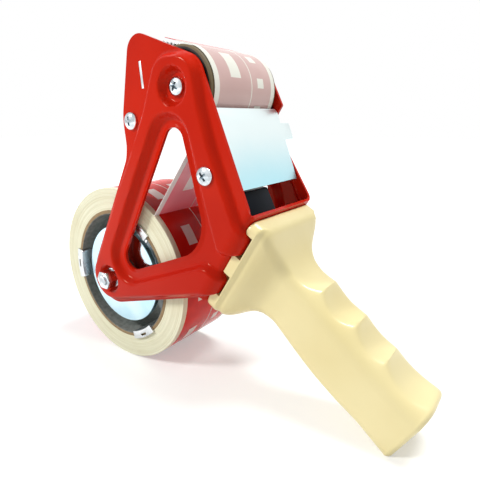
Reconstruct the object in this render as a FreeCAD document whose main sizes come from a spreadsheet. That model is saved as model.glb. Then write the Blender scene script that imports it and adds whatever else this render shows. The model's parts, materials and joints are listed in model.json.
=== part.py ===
import FreeCAD, Part
import math
import os
from types import SimpleNamespace

# Hand-held packing-tape gun, standing on its tape roll and the butt of its handle.
# X runs along the tool (roll at -X, handle at +X), Y across it, Z up.
# Shapes are drawn about the roll's axis; the last step moves the origin to the
# middle of the box that holds the whole tool, at the floor.

SIZES = {
    # tape roll, core and strand
    "tape_width": 50.0,
    "core_bore_radius": 38.1,
    "core_wall": 2.5,
    "winding": 13.4,
    "film_thickness": 0.3,
    "film_gap": 0.3,
    "peel_angle": 51.0,
    # pressed frame
    "reach": 100.0,
    "rise": 107.5,
    "plates_apart": 55.8,
    "frame_sheet": 1.6,
    "rib_height": 4.0,
    "rib_flank_angle": 40.0,
    "least_round": 0.4,
    "bend_radius": 3.6,
    "rib_corner_depth": 5.5,
    "roller_dimple_radius": 7.8,
    "rear_dimple_radius": 5.2,
    "hub_dimple_radius": 7.3,
    # screws
    "screw_thread_radius": 2.0,
    "screw_hole_gap": 0.1,
    "screw_head_radius": 4.5,
    "screw_head_height": 2.5,
    "screw_length": 13.0,
    "cross_width": 1.1,
    "cross_span": 4.8,
    "cross_depth": 1.3,
    "rod_radius": 4.0,
    "rod_end_radius": 2.8,
    # pressing roller
    "roller_radius": 18.6,
    "roller_width": 54.0,
    "rubber_wall": 2.6,
    "roller_core_wall": 2.4,
    "roller_bush_length": 7.0,
    "roller_bush_inset": 3.5,
    "running_gap": 0.06,
    # hub
    "hub_disc_gap": 5.9,
    "hub_sheet": 1.2,
    "hub_rim_depth": 3.5,
    "hub_disc_inset": 1.5,
    "hub_tube_radius": 8.0,
    "hub_tube_wall": 1.5,
    "finger_angle": 180.0,
    "finger_half_angle": 14.0,
    "finger_lip": 3.6,
    "finger_gap": 0.2,
    "finger_count": 3,
    "lip_slot_width": 5.0,
    "lip_slot_height": 1.3,
    "spider_depth": 23.0,
    "face_gap": 0.1,
    "bolt_radius": 3.0,
    "nut_flats": 10.0,
    "nut_height": 6.8,
    "bolt_head_height": 4.0,
    "bolt_end": 0.9,
    "washer_radius": 6.0,
    "washer_thickness": 1.2,
    "friction_radius": 13.0,
    "friction_thickness": 1.4,
    "spring_wire": 1.6,
    "spring_radius": 5.2,
    "spring_length": 11.0,
    "spring_turns": 4,
    # finger brake plate
    "brake_sheet": 1.2,
    "brake_length": 39.5,
    "brake_side_gap": 0.8,
    "brake_roller_gap": 2.4,
    "brake_lean": 21.2,
    "brake_top_angle": 25.4,
    "brake_corner": 3.0,
    "ear_height": 15.0,
    "ear_radius": 6.2,
    "tab_reach": 36.0,
    "tab_width": 9.5,
    "return_wire": 1.2,
    "return_radius": 5.5,
    "return_turns": 4,
    "return_pitch": 1.85,
    "return_leg": 15.0,
    "return_leg_gap": 0.4,
    # moulded block under the brake plate
    "block_side": 25.8,
    "block_height": 22.0,
    "block_drop": 4.8,
    "block_nose": 9.0,
    "block_plate_gap": 0.6,
    "block_corner": 1.2,
    "block_screw_seat": 8.0,
    "block_screw_length": 20.0,
    # blade and its carrier
    "carrier_sheet": 1.5,
    "carrier_slot_gap": 0.1,
    "blade_sheet": 0.8,
    "blade_width": 51.0,
    "blade_height": 14.5,
    "blade_slope": 37.0,
    "tooth_pitch": 2.5,
    "tooth_height": 1.6,
    "blade_screw_radius": 1.5,
    "blade_screw_head": 3.0,
    "blade_screw_head_height": 1.5,
    "blade_screw_spread": 15.0,
    # handle
    "flange_thickness": 6.5,
    "flange_half_width": 28.5,
    "flange_corner": 5.0,
    "notch_depth": 5.5,
    "notch_reach": 5.0,
    "notch_gap": 0.8,
    "grip_length": 112.0,
    "grip_depth": 36.0,
    "grip_half_width": 14.2,
    "butt_slant": 6.5,
    "handle_bolt_radius": 2.5,
    "handle_bolt_length": 14.0,
    "handle_bolt_spread": 15.0,
    "handle_insert_radius": 4.0,
    "cut_overrun": 2.0,
}

doc = FreeCAD.newDocument("tape_gun")
sheet = doc.addObject("Spreadsheet::Sheet", "Sizes")
for row, (alias, value) in enumerate(SIZES.items(), start=1):
    sheet.set(f"A{row}", alias)
    sheet.set(f"B{row}", str(value))
    sheet.setAlias(f"B{row}", alias)
doc.recompute()
dim = SimpleNamespace(**{alias: sheet.get(alias) for alias in SIZES})

V = FreeCAD.Vector
Placement = FreeCAD.Placement
Rotation = FreeCAD.Rotation
ACROSS = V(0, 1, 0)
ORIGIN = V(0, 0, 0)


roll_radius = dim.core_bore_radius + dim.core_wall + dim.winding

# Places of the main axes, as shares of the frame's reach and rise from the roll's axis
web_middle_share = 0.53


def spot(reach_share, rise_share):
    return V(dim.reach * reach_share, 0, roll_radius + dim.rise * rise_share)


HUB = spot(0, 0)
ROLLER = spot(0.596, 1.002)
REAR_ROD = spot(0.79, 0.634)
FRONT_ROD = spot(0.262, 0.857)
WEB_TOP = spot(1.018, 0.469)
WEB_FOOT = spot(0.730, 0.025)
WEB_MIDDLE = WEB_FOOT + (WEB_TOP - WEB_FOOT) * web_middle_share

inner_face = dim.plates_apart / 2
outer_face = inner_face + dim.frame_sheet
crest_face = outer_face + dim.rib_height
radians = math.radians


# Outlines
def with_radii(shares):
    return [(spot(x, z), dim.reach * corner) for x, z, corner in shares]


def flat(points):
    """The same outline in the sketch's own two directions."""
    return [(V(p.x, p.z, 0), r) for p, r in points]


def rounded_edges(points):
    """Lines and corner arcs through a closed run of (point, corner radius)."""
    count = len(points)
    starts, ends, arcs = [], [], []
    for i, (point, radius) in enumerate(points):
        back = (points[i - 1][0] - point).normalize()
        ahead = (points[(i + 1) % count][0] - point).normalize()
        half = back.getAngle(ahead) / 2
        if radius <= 0 or abs(half - math.pi / 2) < 1e-6:
            starts.append(point)
            ends.append(point)
            arcs.append(None)
            continue
        run = radius / math.tan(half)
        bisector = (back + ahead).normalize()
        middle = point + bisector * (radius / math.sin(half) - radius)
        starts.append(point + back * run)
        ends.append(point + ahead * run)
        arcs.append(middle)
    edges = []
    for i in range(count):
        if arcs[i] is not None:
            edges.append(Part.Arc(starts[i], arcs[i], ends[i]))
        after = starts[(i + 1) % count]
        if (after - ends[i]).Length > 1e-6:
            edges.append(Part.LineSegment(ends[i], after))
    return edges


def inset(points, distance):
    """The outline moved inwards, with its corner radii kept concentric."""
    count = len(points)
    area = sum(
        points[i][0].x * points[(i + 1) % count][0].y - points[(i + 1) % count][0].x * points[i][0].y
        for i in range(count)
    )
    turn = 1 if area > 0 else -1
    moved = []
    for i, (point, radius) in enumerate(points):
        before = (point - points[i - 1][0]).normalize()
        after = (points[(i + 1) % count][0] - point).normalize()
        left_before = V(-before.y, before.x, 0) * turn
        left_after = V(-after.y, after.x, 0) * turn
        bisector = (left_before + left_after).normalize()
        scale = distance / bisector.dot(left_before)
        convex = (before.x * after.y - before.y * after.x) * turn > 0
        new_radius = radius - distance if convex else radius + distance
        moved.append((point + bisector * scale, max(new_radius, dim.least_round)))
    return moved


def circle(centre, radius):
    return [Part.Circle(V(centre.x, centre.z, 0), V(0, 0, 1), radius)]


def sharp(points):
    return rounded_edges([(V(p.x, p.z, 0), 0) for p in points])


# Building blocks of a body
def new_body(name):
    body = doc.addObject("PartDesign::Body", name)
    body.Label = name
    return body


def base_plane(body, role):
    return [f for f in body.Origin.OriginFeatures if f.Role == role][0]


def draw(body, name, geometry, level="0", role="XZ_Plane", offset=None):
    """A sketch on one of the body's planes, raised along the plane's normal by a sheet formula."""
    sketch = body.newObject("Sketcher::SketchObject", name)
    sketch.AttachmentSupport = [(base_plane(body, role), "")]
    sketch.MapMode = "FlatFace"
    if offset is not None:
        sketch.AttachmentOffset = offset
    if level != "0":
        sketch.setExpression("AttachmentOffset.Base.z", level)
    for piece in geometry:
        sketch.addGeometry(piece, False)
    return sketch


def extrude(body, kind, name, sketch, length, both_ways=False, backwards=False):
    feature = body.newObject(f"PartDesign::{kind}", name)
    feature.Profile = sketch
    if isinstance(length, str):
        feature.setExpression("Length", length)
    else:
        feature.Length = length
    feature.Midplane = both_ways
    feature.Reversed = backwards
    sketch.Visibility = False
    doc.recompute()
    return feature


def pad(body, name, sketch, length, **options):
    return extrude(body, "Pad", name, sketch, length, **options)


def pocket(body, name, sketch, length, **options):
    return extrude(body, "Pocket", name, sketch, length, **options)


def ring(body, name, centre, outer, inner, level, length, **options):
    """A washer shape across the tool, from level towards -Y."""
    geometry = circle(centre, outer) + (circle(centre, inner) if inner else [])
    return pad(body, name, draw(body, name + "_outline", geometry, level), length, **options)


def around_axis(body, feature, count):
    """Copies of a feature round the body's Y axis."""
    pattern = body.newObject("PartDesign::PolarPattern", feature.Name + "_copies")
    pattern.Originals = [feature]
    pattern.Axis = (base_plane(body, "Y_Axis"), [""])
    pattern.Angle = 360
    pattern.Occurrences = int(count)
    body.Tip = pattern
    doc.recompute()
    return pattern


INNER = "Sizes.plates_apart / 2"
OUTER = "Sizes.plates_apart / 2 + Sizes.frame_sheet"
CREST = "Sizes.plates_apart / 2 + Sizes.frame_sheet + Sizes.rib_height"
SHEET = "Sizes.frame_sheet"


# The pressed steel frame: one blank bent to a U, with stiffening ribs pressed outwards
near_plate_shares = [
    (-0.360, -0.262, 0.177),
    (0.198, 0.674, 0.15),
    (0.208, 0.737, 0.15),
    (0.194, 0.872, 0.30),
    (0.283, 1.263, 0.09),
    (0.725, 1.117, 0.12),
    (1.018, 0.469, 0),
]
window_shares = [(0.587, 0.925, 0.061), (0.770, 0.297, 0.20), (0.047, 0.020, 0.072)]
near_rib_shares = [
    (0.944, 0.281, 0.05),
    (1.009, 0.380, 0.05),
    (0.965, 0.462, 0.10),
    (0.832, 0.760, 0.50),
    (0.780, 0.913, 0.30),
    (0.728, 1.148, 0.125),
    (0.472, 1.148, 0.125),
    (0.365, 0.904, 0.30),
    (0.240, 0.695, 0.30),
    (0.090, 0.467, 0.30),
    (-0.333, -0.236, 0.159),
    (0.815, 0.082, 0.05),
    (0.880, 0.181, 0.05),
    (0.760, 0.240, 0.10),
    (-0.073, -0.076, 0.12),
    (0.592, 1.034, 0.11),
    (0.726, 0.574, 0.50),
    (0.825, 0.281, 0.05),
]
far_plate_shares = [
    (0.665, 0.060, 0.03),
    (0.750, 0.467, 0.30),
    (0.660, 0.783, 0.08),
    (0.220, 0.746, 0.05),
    (0.194, 0.872, 0.20),
    (0.280, 1.235, 0.09),
    (0.725, 1.105, 0.12),
    (0.820, 0.932, 0.01),
    (0.775, 0.867, 0.03),
    (0.798, 0.793, 0.05),
    (1.018, 0.469, 0),
]
far_rib_shares = [
    (0.944, 0.281, 0.05),
    (1.009, 0.380, 0.05),
    (0.940, 0.480, 0.10),
    (0.785, 0.774, 0.30),
    (0.765, 0.915, 0.30),
    (0.728, 1.130, 0.125),
    (0.472, 1.130, 0.125),
    (0.430, 0.945, 0.055),
    (0.620, 0.900, 0.08),
    (0.702, 0.640, 0.30),
    (0.780, 0.480, 0.20),
    (0.825, 0.281, 0.05),
]

web_length = (WEB_TOP - WEB_FOOT).Length
web_along = (WEB_TOP - WEB_FOOT).normalize()
web_out = V(web_along.z, 0, -web_along.x)
web_inner_top = WEB_TOP - web_out * dim.frame_sheet
web_tilt = math.degrees(math.atan2(-web_out.z, web_out.x))
# a view along the web's length, and one square onto its outer face
ALONG_WEB = Placement(WEB_FOOT, Rotation(V(0, 1, 0), web_tilt))
ONTO_WEB = Placement(V(WEB_MIDDLE.y, WEB_MIDDLE.z, WEB_MIDDLE.x), Rotation(V(1, 0, 0), web_tilt))


def slot_outline(bottom, top, width):
    """A thin slanted rectangle about the line from bottom to top."""
    along = (top - bottom).normalize()
    side = V(along.z, 0, -along.x) * (width / 2)
    return sharp([bottom - side, bottom + side, top + side, top - side])


near_rib_ends = [near_rib_shares[0:2], near_rib_shares[11:13]]


def rib_end_outline(end):
    """A rib's rounded end beyond the web, closed along the web's inner face."""
    outer = with_radii(end)
    inner = [(p - web_out * ((p - WEB_MIDDLE).dot(web_out) + dim.frame_sheet), 0) for p, r in outer]
    return outer + inner[::-1]


TAB_FOOT = spot(0.363, 1.002)
TAB_TOP = spot(0.349, 1.120)


flank_run = dim.rib_height * math.tan(radians(dim.rib_flank_angle))


def rib(body, kind, name, foot, foot_level, top_level):
    """A rib, or the hollow behind it: an outline drawn in by the flanks' run as it rises."""
    low = draw(body, name + "_foot", rounded_edges(foot), foot_level)
    high = draw(body, name + "_top", rounded_edges(inset(foot, flank_run)), top_level)
    doc.recompute()
    loft = body.newObject(f"PartDesign::{kind}", name)
    loft.Profile = low
    loft.Sections = [(high, [""])]
    loft.Ruled = True
    body.Tip = loft
    doc.recompute()


def make_frame():
    body = new_body("frame")
    fold = [(WEB_TOP - web_out * dim.bend_radius, 0), (WEB_FOOT - web_out * dim.bend_radius, 0)]
    near_points = flat(with_radii(near_plate_shares) + fold)
    far_points = flat(with_radii(far_plate_shares) + fold)
    window = flat(with_radii(window_shares))
    near = draw(body, "near_outline", rounded_edges(near_points) + rounded_edges(window), INNER)
    pad(body, "near_plate", near, SHEET)
    far = draw(body, "far_outline", rounded_edges(far_points), "-(" + OUTER + ")")
    pad(body, "far_plate", far, SHEET)

    # the web and its two bends, drawn as a channel section
    bend, skin = dim.bend_radius, dim.frame_sheet
    channel = [
        (V(-bend, -outer_face, 0), 0),
        (V(0, -outer_face, 0), bend),
        (V(0, outer_face, 0), bend),
        (V(-bend, outer_face, 0), 0),
        (V(-bend, inner_face, 0), 0),
        (V(-skin, inner_face, 0), bend - skin),
        (V(-skin, -inner_face, 0), bend - skin),
        (V(-bend, -inner_face, 0), 0),
    ]
    section = draw(body, "web_section", rounded_edges(channel), role="XY_Plane", offset=ALONG_WEB)
    pad(body, "web", section, web_length)

    near_rib = flat(with_radii(near_rib_shares))
    far_rib = flat(with_radii(far_rib_shares))
    rib(body, "AdditiveLoft", "near_ribs", near_rib, OUTER, CREST)
    rib(body, "AdditiveLoft", "far_ribs", far_rib, "-(" + OUTER + ")", "-(" + CREST + ")")

    # rib ends carried round the bend onto the web
    for number, end in enumerate(near_rib_ends, start=1):
        foot = draw(body, f"near_corner_foot_{number}", rounded_edges(flat(rib_end_outline(end))), OUTER)
        pad(body, f"near_corner_{number}", foot, "Sizes.rib_corner_depth", backwards=True)
    corner = rounded_edges(flat(rib_end_outline(near_rib_ends[0])))
    pad(body, "far_corner", draw(body, "far_corner_foot", corner, "-(" + OUTER + ")"),
        "Sizes.rib_corner_depth")

    # the hollows behind the ribs
    hollow_top = INNER + " + Sizes.rib_height"
    rib(body, "SubtractiveLoft", "near_hollow", inset(near_rib, dim.frame_sheet), INNER, hollow_top)
    rib(body, "SubtractiveLoft", "far_hollow", inset(far_rib, dim.frame_sheet),
        "-(" + INNER + ")", "-(" + hollow_top + ")")

    # the round dimples that take the roller's screws and the hub's nut
    cups = [("near_roller_cup", ROLLER, dim.roller_dimple_radius, 1),
            ("hub_cup", HUB, dim.hub_dimple_radius, 1),
            ("far_roller_cup", ROLLER, dim.roller_dimple_radius, -1),
            ("far_rear_cup", REAR_ROD, dim.rear_dimple_radius, -1)]
    for name, centre, radius, side in cups:
        level = INNER if side > 0 else "-(" + INNER + ")"
        cup = draw(body, name + "_wall", circle(centre, radius + dim.frame_sheet), level)
        pad(body, name + "_boss", cup, "Sizes.frame_sheet + Sizes.rib_height", backwards=side < 0)
        top = CREST if side > 0 else "-(" + CREST + ")"
        hole = draw(body, name + "_hole", circle(centre, radius), top)
        pocket(body, name + "_dimple", hole, "Sizes.rib_height", backwards=side < 0)

    # holes: three screws through both plates, the hub bolt, the blade carrier's slots
    screw_hole = dim.screw_thread_radius + dim.screw_hole_gap
    through = "2 * (" + CREST + ") + Sizes.cut_overrun"
    for name, centre in (("roller", ROLLER), ("rear", REAR_ROD), ("front", FRONT_ROD)):
        pocket(body, name + "_screw_holes", draw(body, name + "_screw_circle", circle(centre, screw_hole)),
               through, both_ways=True)
    hub_hole = circle(HUB, dim.bolt_radius + dim.screw_hole_gap)
    pocket(body, "hub_hole", draw(body, "hub_hole_circle", hub_hole, CREST),
           "Sizes.rib_height + 2 * Sizes.frame_sheet")
    carrier_slot = slot_outline(TAB_FOOT, TAB_TOP, dim.carrier_sheet + 2 * dim.carrier_slot_gap)
    pocket(body, "carrier_slots", draw(body, "carrier_slot_outline", carrier_slot), through, both_ways=True)
    bolt_circles = []
    for side in (-1, 1):
        place = V(side * dim.handle_bolt_spread, 0, bolt_height)
        bolt_circles += circle(place, dim.handle_bolt_radius + dim.screw_hole_gap)
    bolt_circles += circle(V(block_screw_y, 0, block_screw_height), screw_hole)
    pocket(body, "web_holes", draw(body, "web_hole_circles", bolt_circles, role="YZ_Plane", offset=ONTO_WEB),
           "4 * Sizes.frame_sheet", both_ways=True)
    return body


# Heights up the web, from its middle, of the handle bolts and the block's screw
bolt_height_share = -0.36
block_screw_share = 0.30
bolt_height = dim.grip_depth * bolt_height_share
block_screw_height = dim.grip_depth * block_screw_share
block_screw_y = -dim.block_side / 2


def solid_of(name, shape, centre=ORIGIN):
    feature = doc.addObject("Part::Feature", name)
    feature.Label = name
    feature.Shape = shape
    feature.Placement = Placement(centre, Rotation()).multiply(feature.Placement)
    return feature


# Fasteners
def pan_head_screw(length, thread_radius, head_radius, head_height):
    """A domed cross-recess screw along +Z, its head's seat at 0."""
    dome = (head_radius ** 2 + head_height ** 2) / (2 * head_height)
    half_way = math.asin(head_radius / dome) / 2
    shoulder = V(dome * math.sin(half_way), 0, head_height - dome + dome * math.cos(half_way))
    profile = Part.Wire([
        Part.LineSegment(V(0, 0, -length), V(thread_radius, 0, -length)).toShape(),
        Part.LineSegment(V(thread_radius, 0, -length), V(thread_radius, 0, 0)).toShape(),
        Part.LineSegment(V(thread_radius, 0, 0), V(head_radius, 0, 0)).toShape(),
        Part.Arc(V(head_radius, 0, 0), shoulder, V(0, 0, head_height)).toShape(),
        Part.LineSegment(V(0, 0, head_height), V(0, 0, -length)).toShape(),
    ])
    screw = Part.Face(profile).revolve(ORIGIN, V(0, 0, 1), 360)
    share = head_radius / dim.screw_head_radius
    span = dim.cross_span * share
    width = dim.cross_width * share
    depth = dim.cross_depth * share
    for long_side, short_side in ((span, width), (width, span)):
        corner = V(-long_side / 2, -short_side / 2, head_height - depth)
        screw = screw.cut(Part.makeBox(long_side, short_side, head_height, corner))
    return screw


nut_chamfer_share = 0.94


def hexagon(flats, height):
    """A six-sided head along +Z from 0, its outer corners chamfered."""
    corner = flats / math.sqrt(3)
    turns = [math.pi / 3 * k for k in range(7)]
    points = [V(corner * math.cos(turn), corner * math.sin(turn), 0) for turn in turns]
    block = Part.Face(Part.makePolygon(points)).extrude(V(0, 0, height))
    cone = Part.makeCone(corner + height * math.sqrt(3), corner * nut_chamfer_share, height)
    return block.common(cone)


TOWARDS_NEAR = Rotation(V(0, 0, 1), V(0, -1, 0))
TOWARDS_FAR = Rotation(V(0, 0, 1), V(0, 1, 0))


def turned(shape, place, rotation):
    copy = shape.copy()
    copy.Placement = Placement(place, rotation)
    return copy


def make_plate_screws():
    screw = pan_head_screw(dim.screw_length, dim.screw_thread_radius,
                           dim.screw_head_radius, dim.screw_head_height)
    screws = []
    for centre, near_seat in ((ROLLER, outer_face), (FRONT_ROD, outer_face), (REAR_ROD, crest_face)):
        screws.append(turned(screw, centre - ACROSS * near_seat, TOWARDS_NEAR))
        screws.append(turned(screw, centre + ACROSS * outer_face, TOWARDS_FAR))
    solid_of("plate_screws", Part.makeCompound(screws))


def make_rod(name, centre, near_stub=None):
    """A turned rod between the plates, tapped at both ends; a stub reaches into the near rib's hollow."""
    body = new_body(name)
    pad(body, name + "_round", draw(body, name + "_circle", circle(centre, dim.rod_radius)),
        "2 * " + INNER, both_ways=True)
    near_end = INNER
    if near_stub:
        near_end = INNER + " + " + near_stub
        ring(body, name + "_stub", centre, dim.rod_end_radius, 0, INNER, near_stub)
    tapping = circle(centre, dim.screw_thread_radius)
    near = draw(body, name + "_near_tapping", tapping, near_end)
    pocket(body, name + "_near_hole", near, "Sizes.screw_length")
    far = draw(body, name + "_far_tapping", tapping, "-(" + INNER + ")")
    pocket(body, name + "_far_hole", far, "Sizes.screw_length", backwards=True)


# Pressing roller: rubber sleeve on a hard core, turning on a fixed axle
def make_roller():
    half = "Sizes.roller_width / 2"
    core_radius = dim.roller_radius - dim.rubber_wall
    bush_radius = core_radius - dim.roller_core_wall
    sleeve = new_body("roller_sleeve")
    ring(sleeve, "rubber", ROLLER, dim.roller_radius, core_radius, "0", "Sizes.roller_width", both_ways=True)
    core = new_body("roller_core")
    ring(core, "core_tube", ROLLER, core_radius, bush_radius, "0", "Sizes.roller_width", both_ways=True)
    for name, sign in (("roller_bush_near", 1), ("roller_bush_far", -1)):
        bush = new_body(name)
        bore = dim.rod_radius + dim.running_gap
        level = f"{sign} * ({half} - Sizes.roller_bush_inset)"
        ring(bush, name + "_ring", ROLLER, bush_radius, bore, level, "Sizes.roller_bush_length",
             backwards=sign > 0)


# Tape roll on its hub
def sector(inner, outer, middle_angle, half_angle):
    """A piece of a ring about the origin, in the sketch's own directions."""
    start = radians(middle_angle - half_angle)
    end = radians(middle_angle + half_angle)
    middle = radians(middle_angle)

    def point(radius, angle):
        return V(radius * math.cos(angle), radius * math.sin(angle), 0)

    return [
        Part.Arc(point(outer, start), point(outer, middle), point(outer, end)),
        Part.LineSegment(point(outer, end), point(inner, end)),
        Part.Arc(point(inner, end), point(inner, middle), point(inner, start)),
        Part.LineSegment(point(inner, start), point(outer, start)),
    ]


def make_tape_roll():
    core_radius = dim.core_bore_radius + dim.core_wall
    core = new_body("tape_core")
    ring(core, "cardboard", HUB, core_radius, dim.core_bore_radius, "0", "Sizes.tape_width", both_ways=True)
    roll = new_body("tape_roll")
    ring(roll, "winding", HUB, roll_radius, core_radius, "0", "Sizes.tape_width", both_ways=True)


disc_face = dim.tape_width / 2 - dim.hub_disc_inset
spider_face = disc_face - dim.spider_depth


lip_slot_share = 0.3


def make_hub():
    centre = ORIGIN
    disc = new_body("hub_disc")
    bore = dim.bolt_radius + dim.running_gap
    face = "(Sizes.tape_width / 2 - Sizes.hub_disc_inset)"
    finger_outer = dim.core_bore_radius - dim.finger_gap
    finger_inner = finger_outer - dim.hub_sheet
    disc_radius = finger_inner - dim.hub_disc_gap
    ring(disc, "disc_face", centre, disc_radius, bore, face + " - Sizes.hub_sheet", "Sizes.hub_sheet")
    ring(disc, "disc_rim", centre, disc_radius, disc_radius - dim.hub_sheet,
         face + " - Sizes.hub_rim_depth", "Sizes.hub_rim_depth")
    disc.Placement = Placement(HUB, Rotation())

    tube = new_body("hub_tube")
    tube_length = "Sizes.spider_depth - Sizes.hub_sheet"
    ring(tube, "tube", centre, dim.hub_tube_radius, dim.hub_tube_radius - dim.hub_tube_wall,
         face + " - Sizes.spider_depth", tube_length)
    tube.Placement = Placement(HUB, Rotation())

    bush = new_body("hub_bush")
    ring(bush, "bush", centre, dim.hub_tube_radius - dim.hub_tube_wall, bore,
         face + " - Sizes.spider_depth", tube_length)
    bush.Placement = Placement(HUB, Rotation())

    spider = new_body("hub_spider")
    arm_half = finger_outer * math.sin(radians(dim.finger_half_angle))
    arm_end = finger_outer * math.cos(radians(dim.finger_half_angle))
    turn = radians(dim.finger_angle)
    along = V(math.cos(turn), math.sin(turn), 0)
    aside = V(-math.sin(turn), math.cos(turn), 0)
    arm = [along * (dim.hub_tube_radius + dim.hub_sheet) + aside * arm_half,
           along * (dim.hub_tube_radius + dim.hub_sheet) - aside * arm_half,
           along * arm_end - aside * arm_half,
           along * arm_end + aside * arm_half]
    arm_sketch = draw(spider, "arm_outline", rounded_edges([(p, 0) for p in arm]),
                      face + " - Sizes.spider_depth - Sizes.hub_sheet")
    ring(spider, "spider_boss", centre, dim.friction_radius, bore,
         face + " - Sizes.spider_depth - Sizes.hub_sheet", "Sizes.hub_sheet")
    arms = pad(spider, "arm", arm_sketch, "Sizes.hub_sheet")
    around_axis(spider, arms, dim.finger_count)
    finger = draw(spider, "finger_outline",
                  sector(finger_inner, finger_outer, dim.finger_angle, dim.finger_half_angle),
                  face + " - Sizes.spider_depth - Sizes.hub_sheet")
    fingers = pad(spider, "finger", finger,
                  "Sizes.spider_depth + Sizes.hub_disc_inset + 2 * Sizes.hub_sheet + Sizes.finger_gap")
    around_axis(spider, fingers, dim.finger_count)
    lip = draw(spider, "lip_outline",
               sector(finger_inner, finger_outer + dim.finger_lip, dim.finger_angle, dim.finger_half_angle),
               "Sizes.tape_width / 2 + Sizes.finger_gap")
    lips = pad(spider, "lip", lip, "Sizes.hub_sheet")
    around_axis(spider, lips, dim.finger_count)
    slot_angle = math.degrees(dim.lip_slot_width / 2 / finger_outer)
    slot_inner = finger_outer + dim.finger_lip * lip_slot_share
    slot = draw(spider, "lip_slot_outline",
                sector(slot_inner, slot_inner + dim.lip_slot_height, dim.finger_angle, slot_angle),
                "Sizes.tape_width / 2 + Sizes.finger_gap + 2 * Sizes.hub_sheet")
    slots = pocket(spider, "lip_slot", slot, "2 * Sizes.hub_sheet")
    around_axis(spider, slots, dim.finger_count)
    spider.Placement = Placement(HUB, Rotation())


# The fixed stack on the hub bolt, from the frame inwards
spacer_end = disc_face + dim.face_gap + dim.friction_thickness
rear_friction_face = spider_face - dim.hub_sheet - dim.face_gap
cup_face = rear_friction_face - dim.friction_thickness
spring_face = cup_face - dim.washer_thickness
end_washer_face = spring_face - dim.spring_length
bolt_head_face = end_washer_face - dim.washer_thickness
nut_face = outer_face + dim.washer_thickness


def stack_ring(outer, inner, near_face, length):
    """A ring on the hub axis whose near face is at near_face, measured towards -Y."""
    washer = Part.makeCylinder(outer, length).cut(Part.makeCylinder(inner, length))
    return turned(washer, HUB - ACROSS * (near_face - length), TOWARDS_NEAR)


def make_hub_stack():
    loose = dim.bolt_radius + dim.running_gap
    solid_of("hub_spacer", stack_ring(dim.washer_radius, loose, inner_face, inner_face - spacer_end))
    near_disc = stack_ring(dim.friction_radius, loose, spacer_end, dim.friction_thickness)
    rear_disc = stack_ring(dim.friction_radius, loose, rear_friction_face, dim.friction_thickness)
    solid_of("friction_washers", Part.makeCompound([near_disc, rear_disc]))
    washers = [(nut_face, dim.washer_thickness), (cup_face, dim.washer_thickness),
               (end_washer_face, dim.washer_thickness)]
    rings = [stack_ring(dim.washer_radius, loose, face, thick) for face, thick in washers]
    solid_of("hub_washers", Part.makeCompound(rings))

    bolt_tip = nut_face + dim.nut_height + dim.bolt_end
    head = hexagon(dim.nut_flats, dim.bolt_head_height)
    head = turned(head, HUB - ACROSS * bolt_head_face, TOWARDS_FAR)
    shank = Part.makeCylinder(dim.bolt_radius, bolt_tip - bolt_head_face, ORIGIN, V(0, 0, 1))
    shank = turned(shank, HUB - ACROSS * bolt_head_face, TOWARDS_NEAR)
    solid_of("hub_bolt", head.fuse(shank).removeSplitter())

    nut = hexagon(dim.nut_flats, dim.nut_height)
    nut = nut.cut(Part.makeCylinder(dim.bolt_radius, dim.nut_height))
    solid_of("brake_nut", turned(nut, HUB - ACROSS * nut_face, TOWARDS_NEAR))


# Coil springs: a round wire swept along a helix of arcs
def arc_between(start, apex, end):
    """The arc from start to end whose end tangents meet at apex."""
    chord_middle = (start + end) / 2
    rise = (chord_middle - apex).Length
    tangent = (start - apex).Length
    half_chord = math.sqrt(tangent ** 2 - rise ** 2)
    radius = tangent * half_chord / rise
    to_centre = tangent ** 2 / rise
    middle = apex + (chord_middle - apex).normalize() * (to_centre - radius)
    return Part.Arc(start, middle, end).toShape()


def biarc(start, start_tangent, end, end_tangent):
    span = end - start
    both = start_tangent + end_tangent
    spread = 2 * (1 - start_tangent.dot(end_tangent))
    reach = (-span.dot(both) + math.sqrt(span.dot(both) ** 2 + spread * span.dot(span))) / spread
    first_apex = start + start_tangent * reach
    second_apex = end - end_tangent * reach
    joint = (first_apex + second_apex) / 2
    return [arc_between(start, first_apex, joint), arc_between(joint, second_apex, end)]


def coil_wire(radius, pitch, turns, wire, leg, phase):
    """A helix about +Z in steps of up to a quarter turn, with a straight leg along each end tangent."""
    steps = math.ceil(turns * 4)
    step = 2 * math.pi * turns / steps
    rise = pitch / (2 * math.pi)
    points, tangents = [], []
    for k in range(steps + 1):
        angle = radians(phase) + step * k
        points.append(V(radius * math.cos(angle), radius * math.sin(angle), rise * step * k))
        tangents.append(V(-radius * math.sin(angle), radius * math.cos(angle), rise).normalize())
    legs = [[Part.LineSegment(points[0] - tangents[0] * leg, points[0]).toShape()],
            [Part.LineSegment(points[-1], points[-1] + tangents[-1] * leg).toShape()]] if leg else [[], []]
    edges = legs[0]
    for k in range(steps):
        edges = edges + biarc(points[k], tangents[k], points[k + 1], tangents[k + 1])
    path = Part.Wire(edges + legs[1])
    start = points[0] - tangents[0] * leg
    section = Part.Wire(Part.makeCircle(wire / 2, start, tangents[0]))
    return path.makePipeShell([section], True, False), path


def report_coil(name, path, wire, pitch):
    print(f"{name}: {path.Length:.1f} mm of wire, gap between turns {pitch - wire:.2f} mm")


# Angles about the rear rod at which the return spring's legs leave its coil
return_start = 150.0
return_end = 180.0


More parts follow.
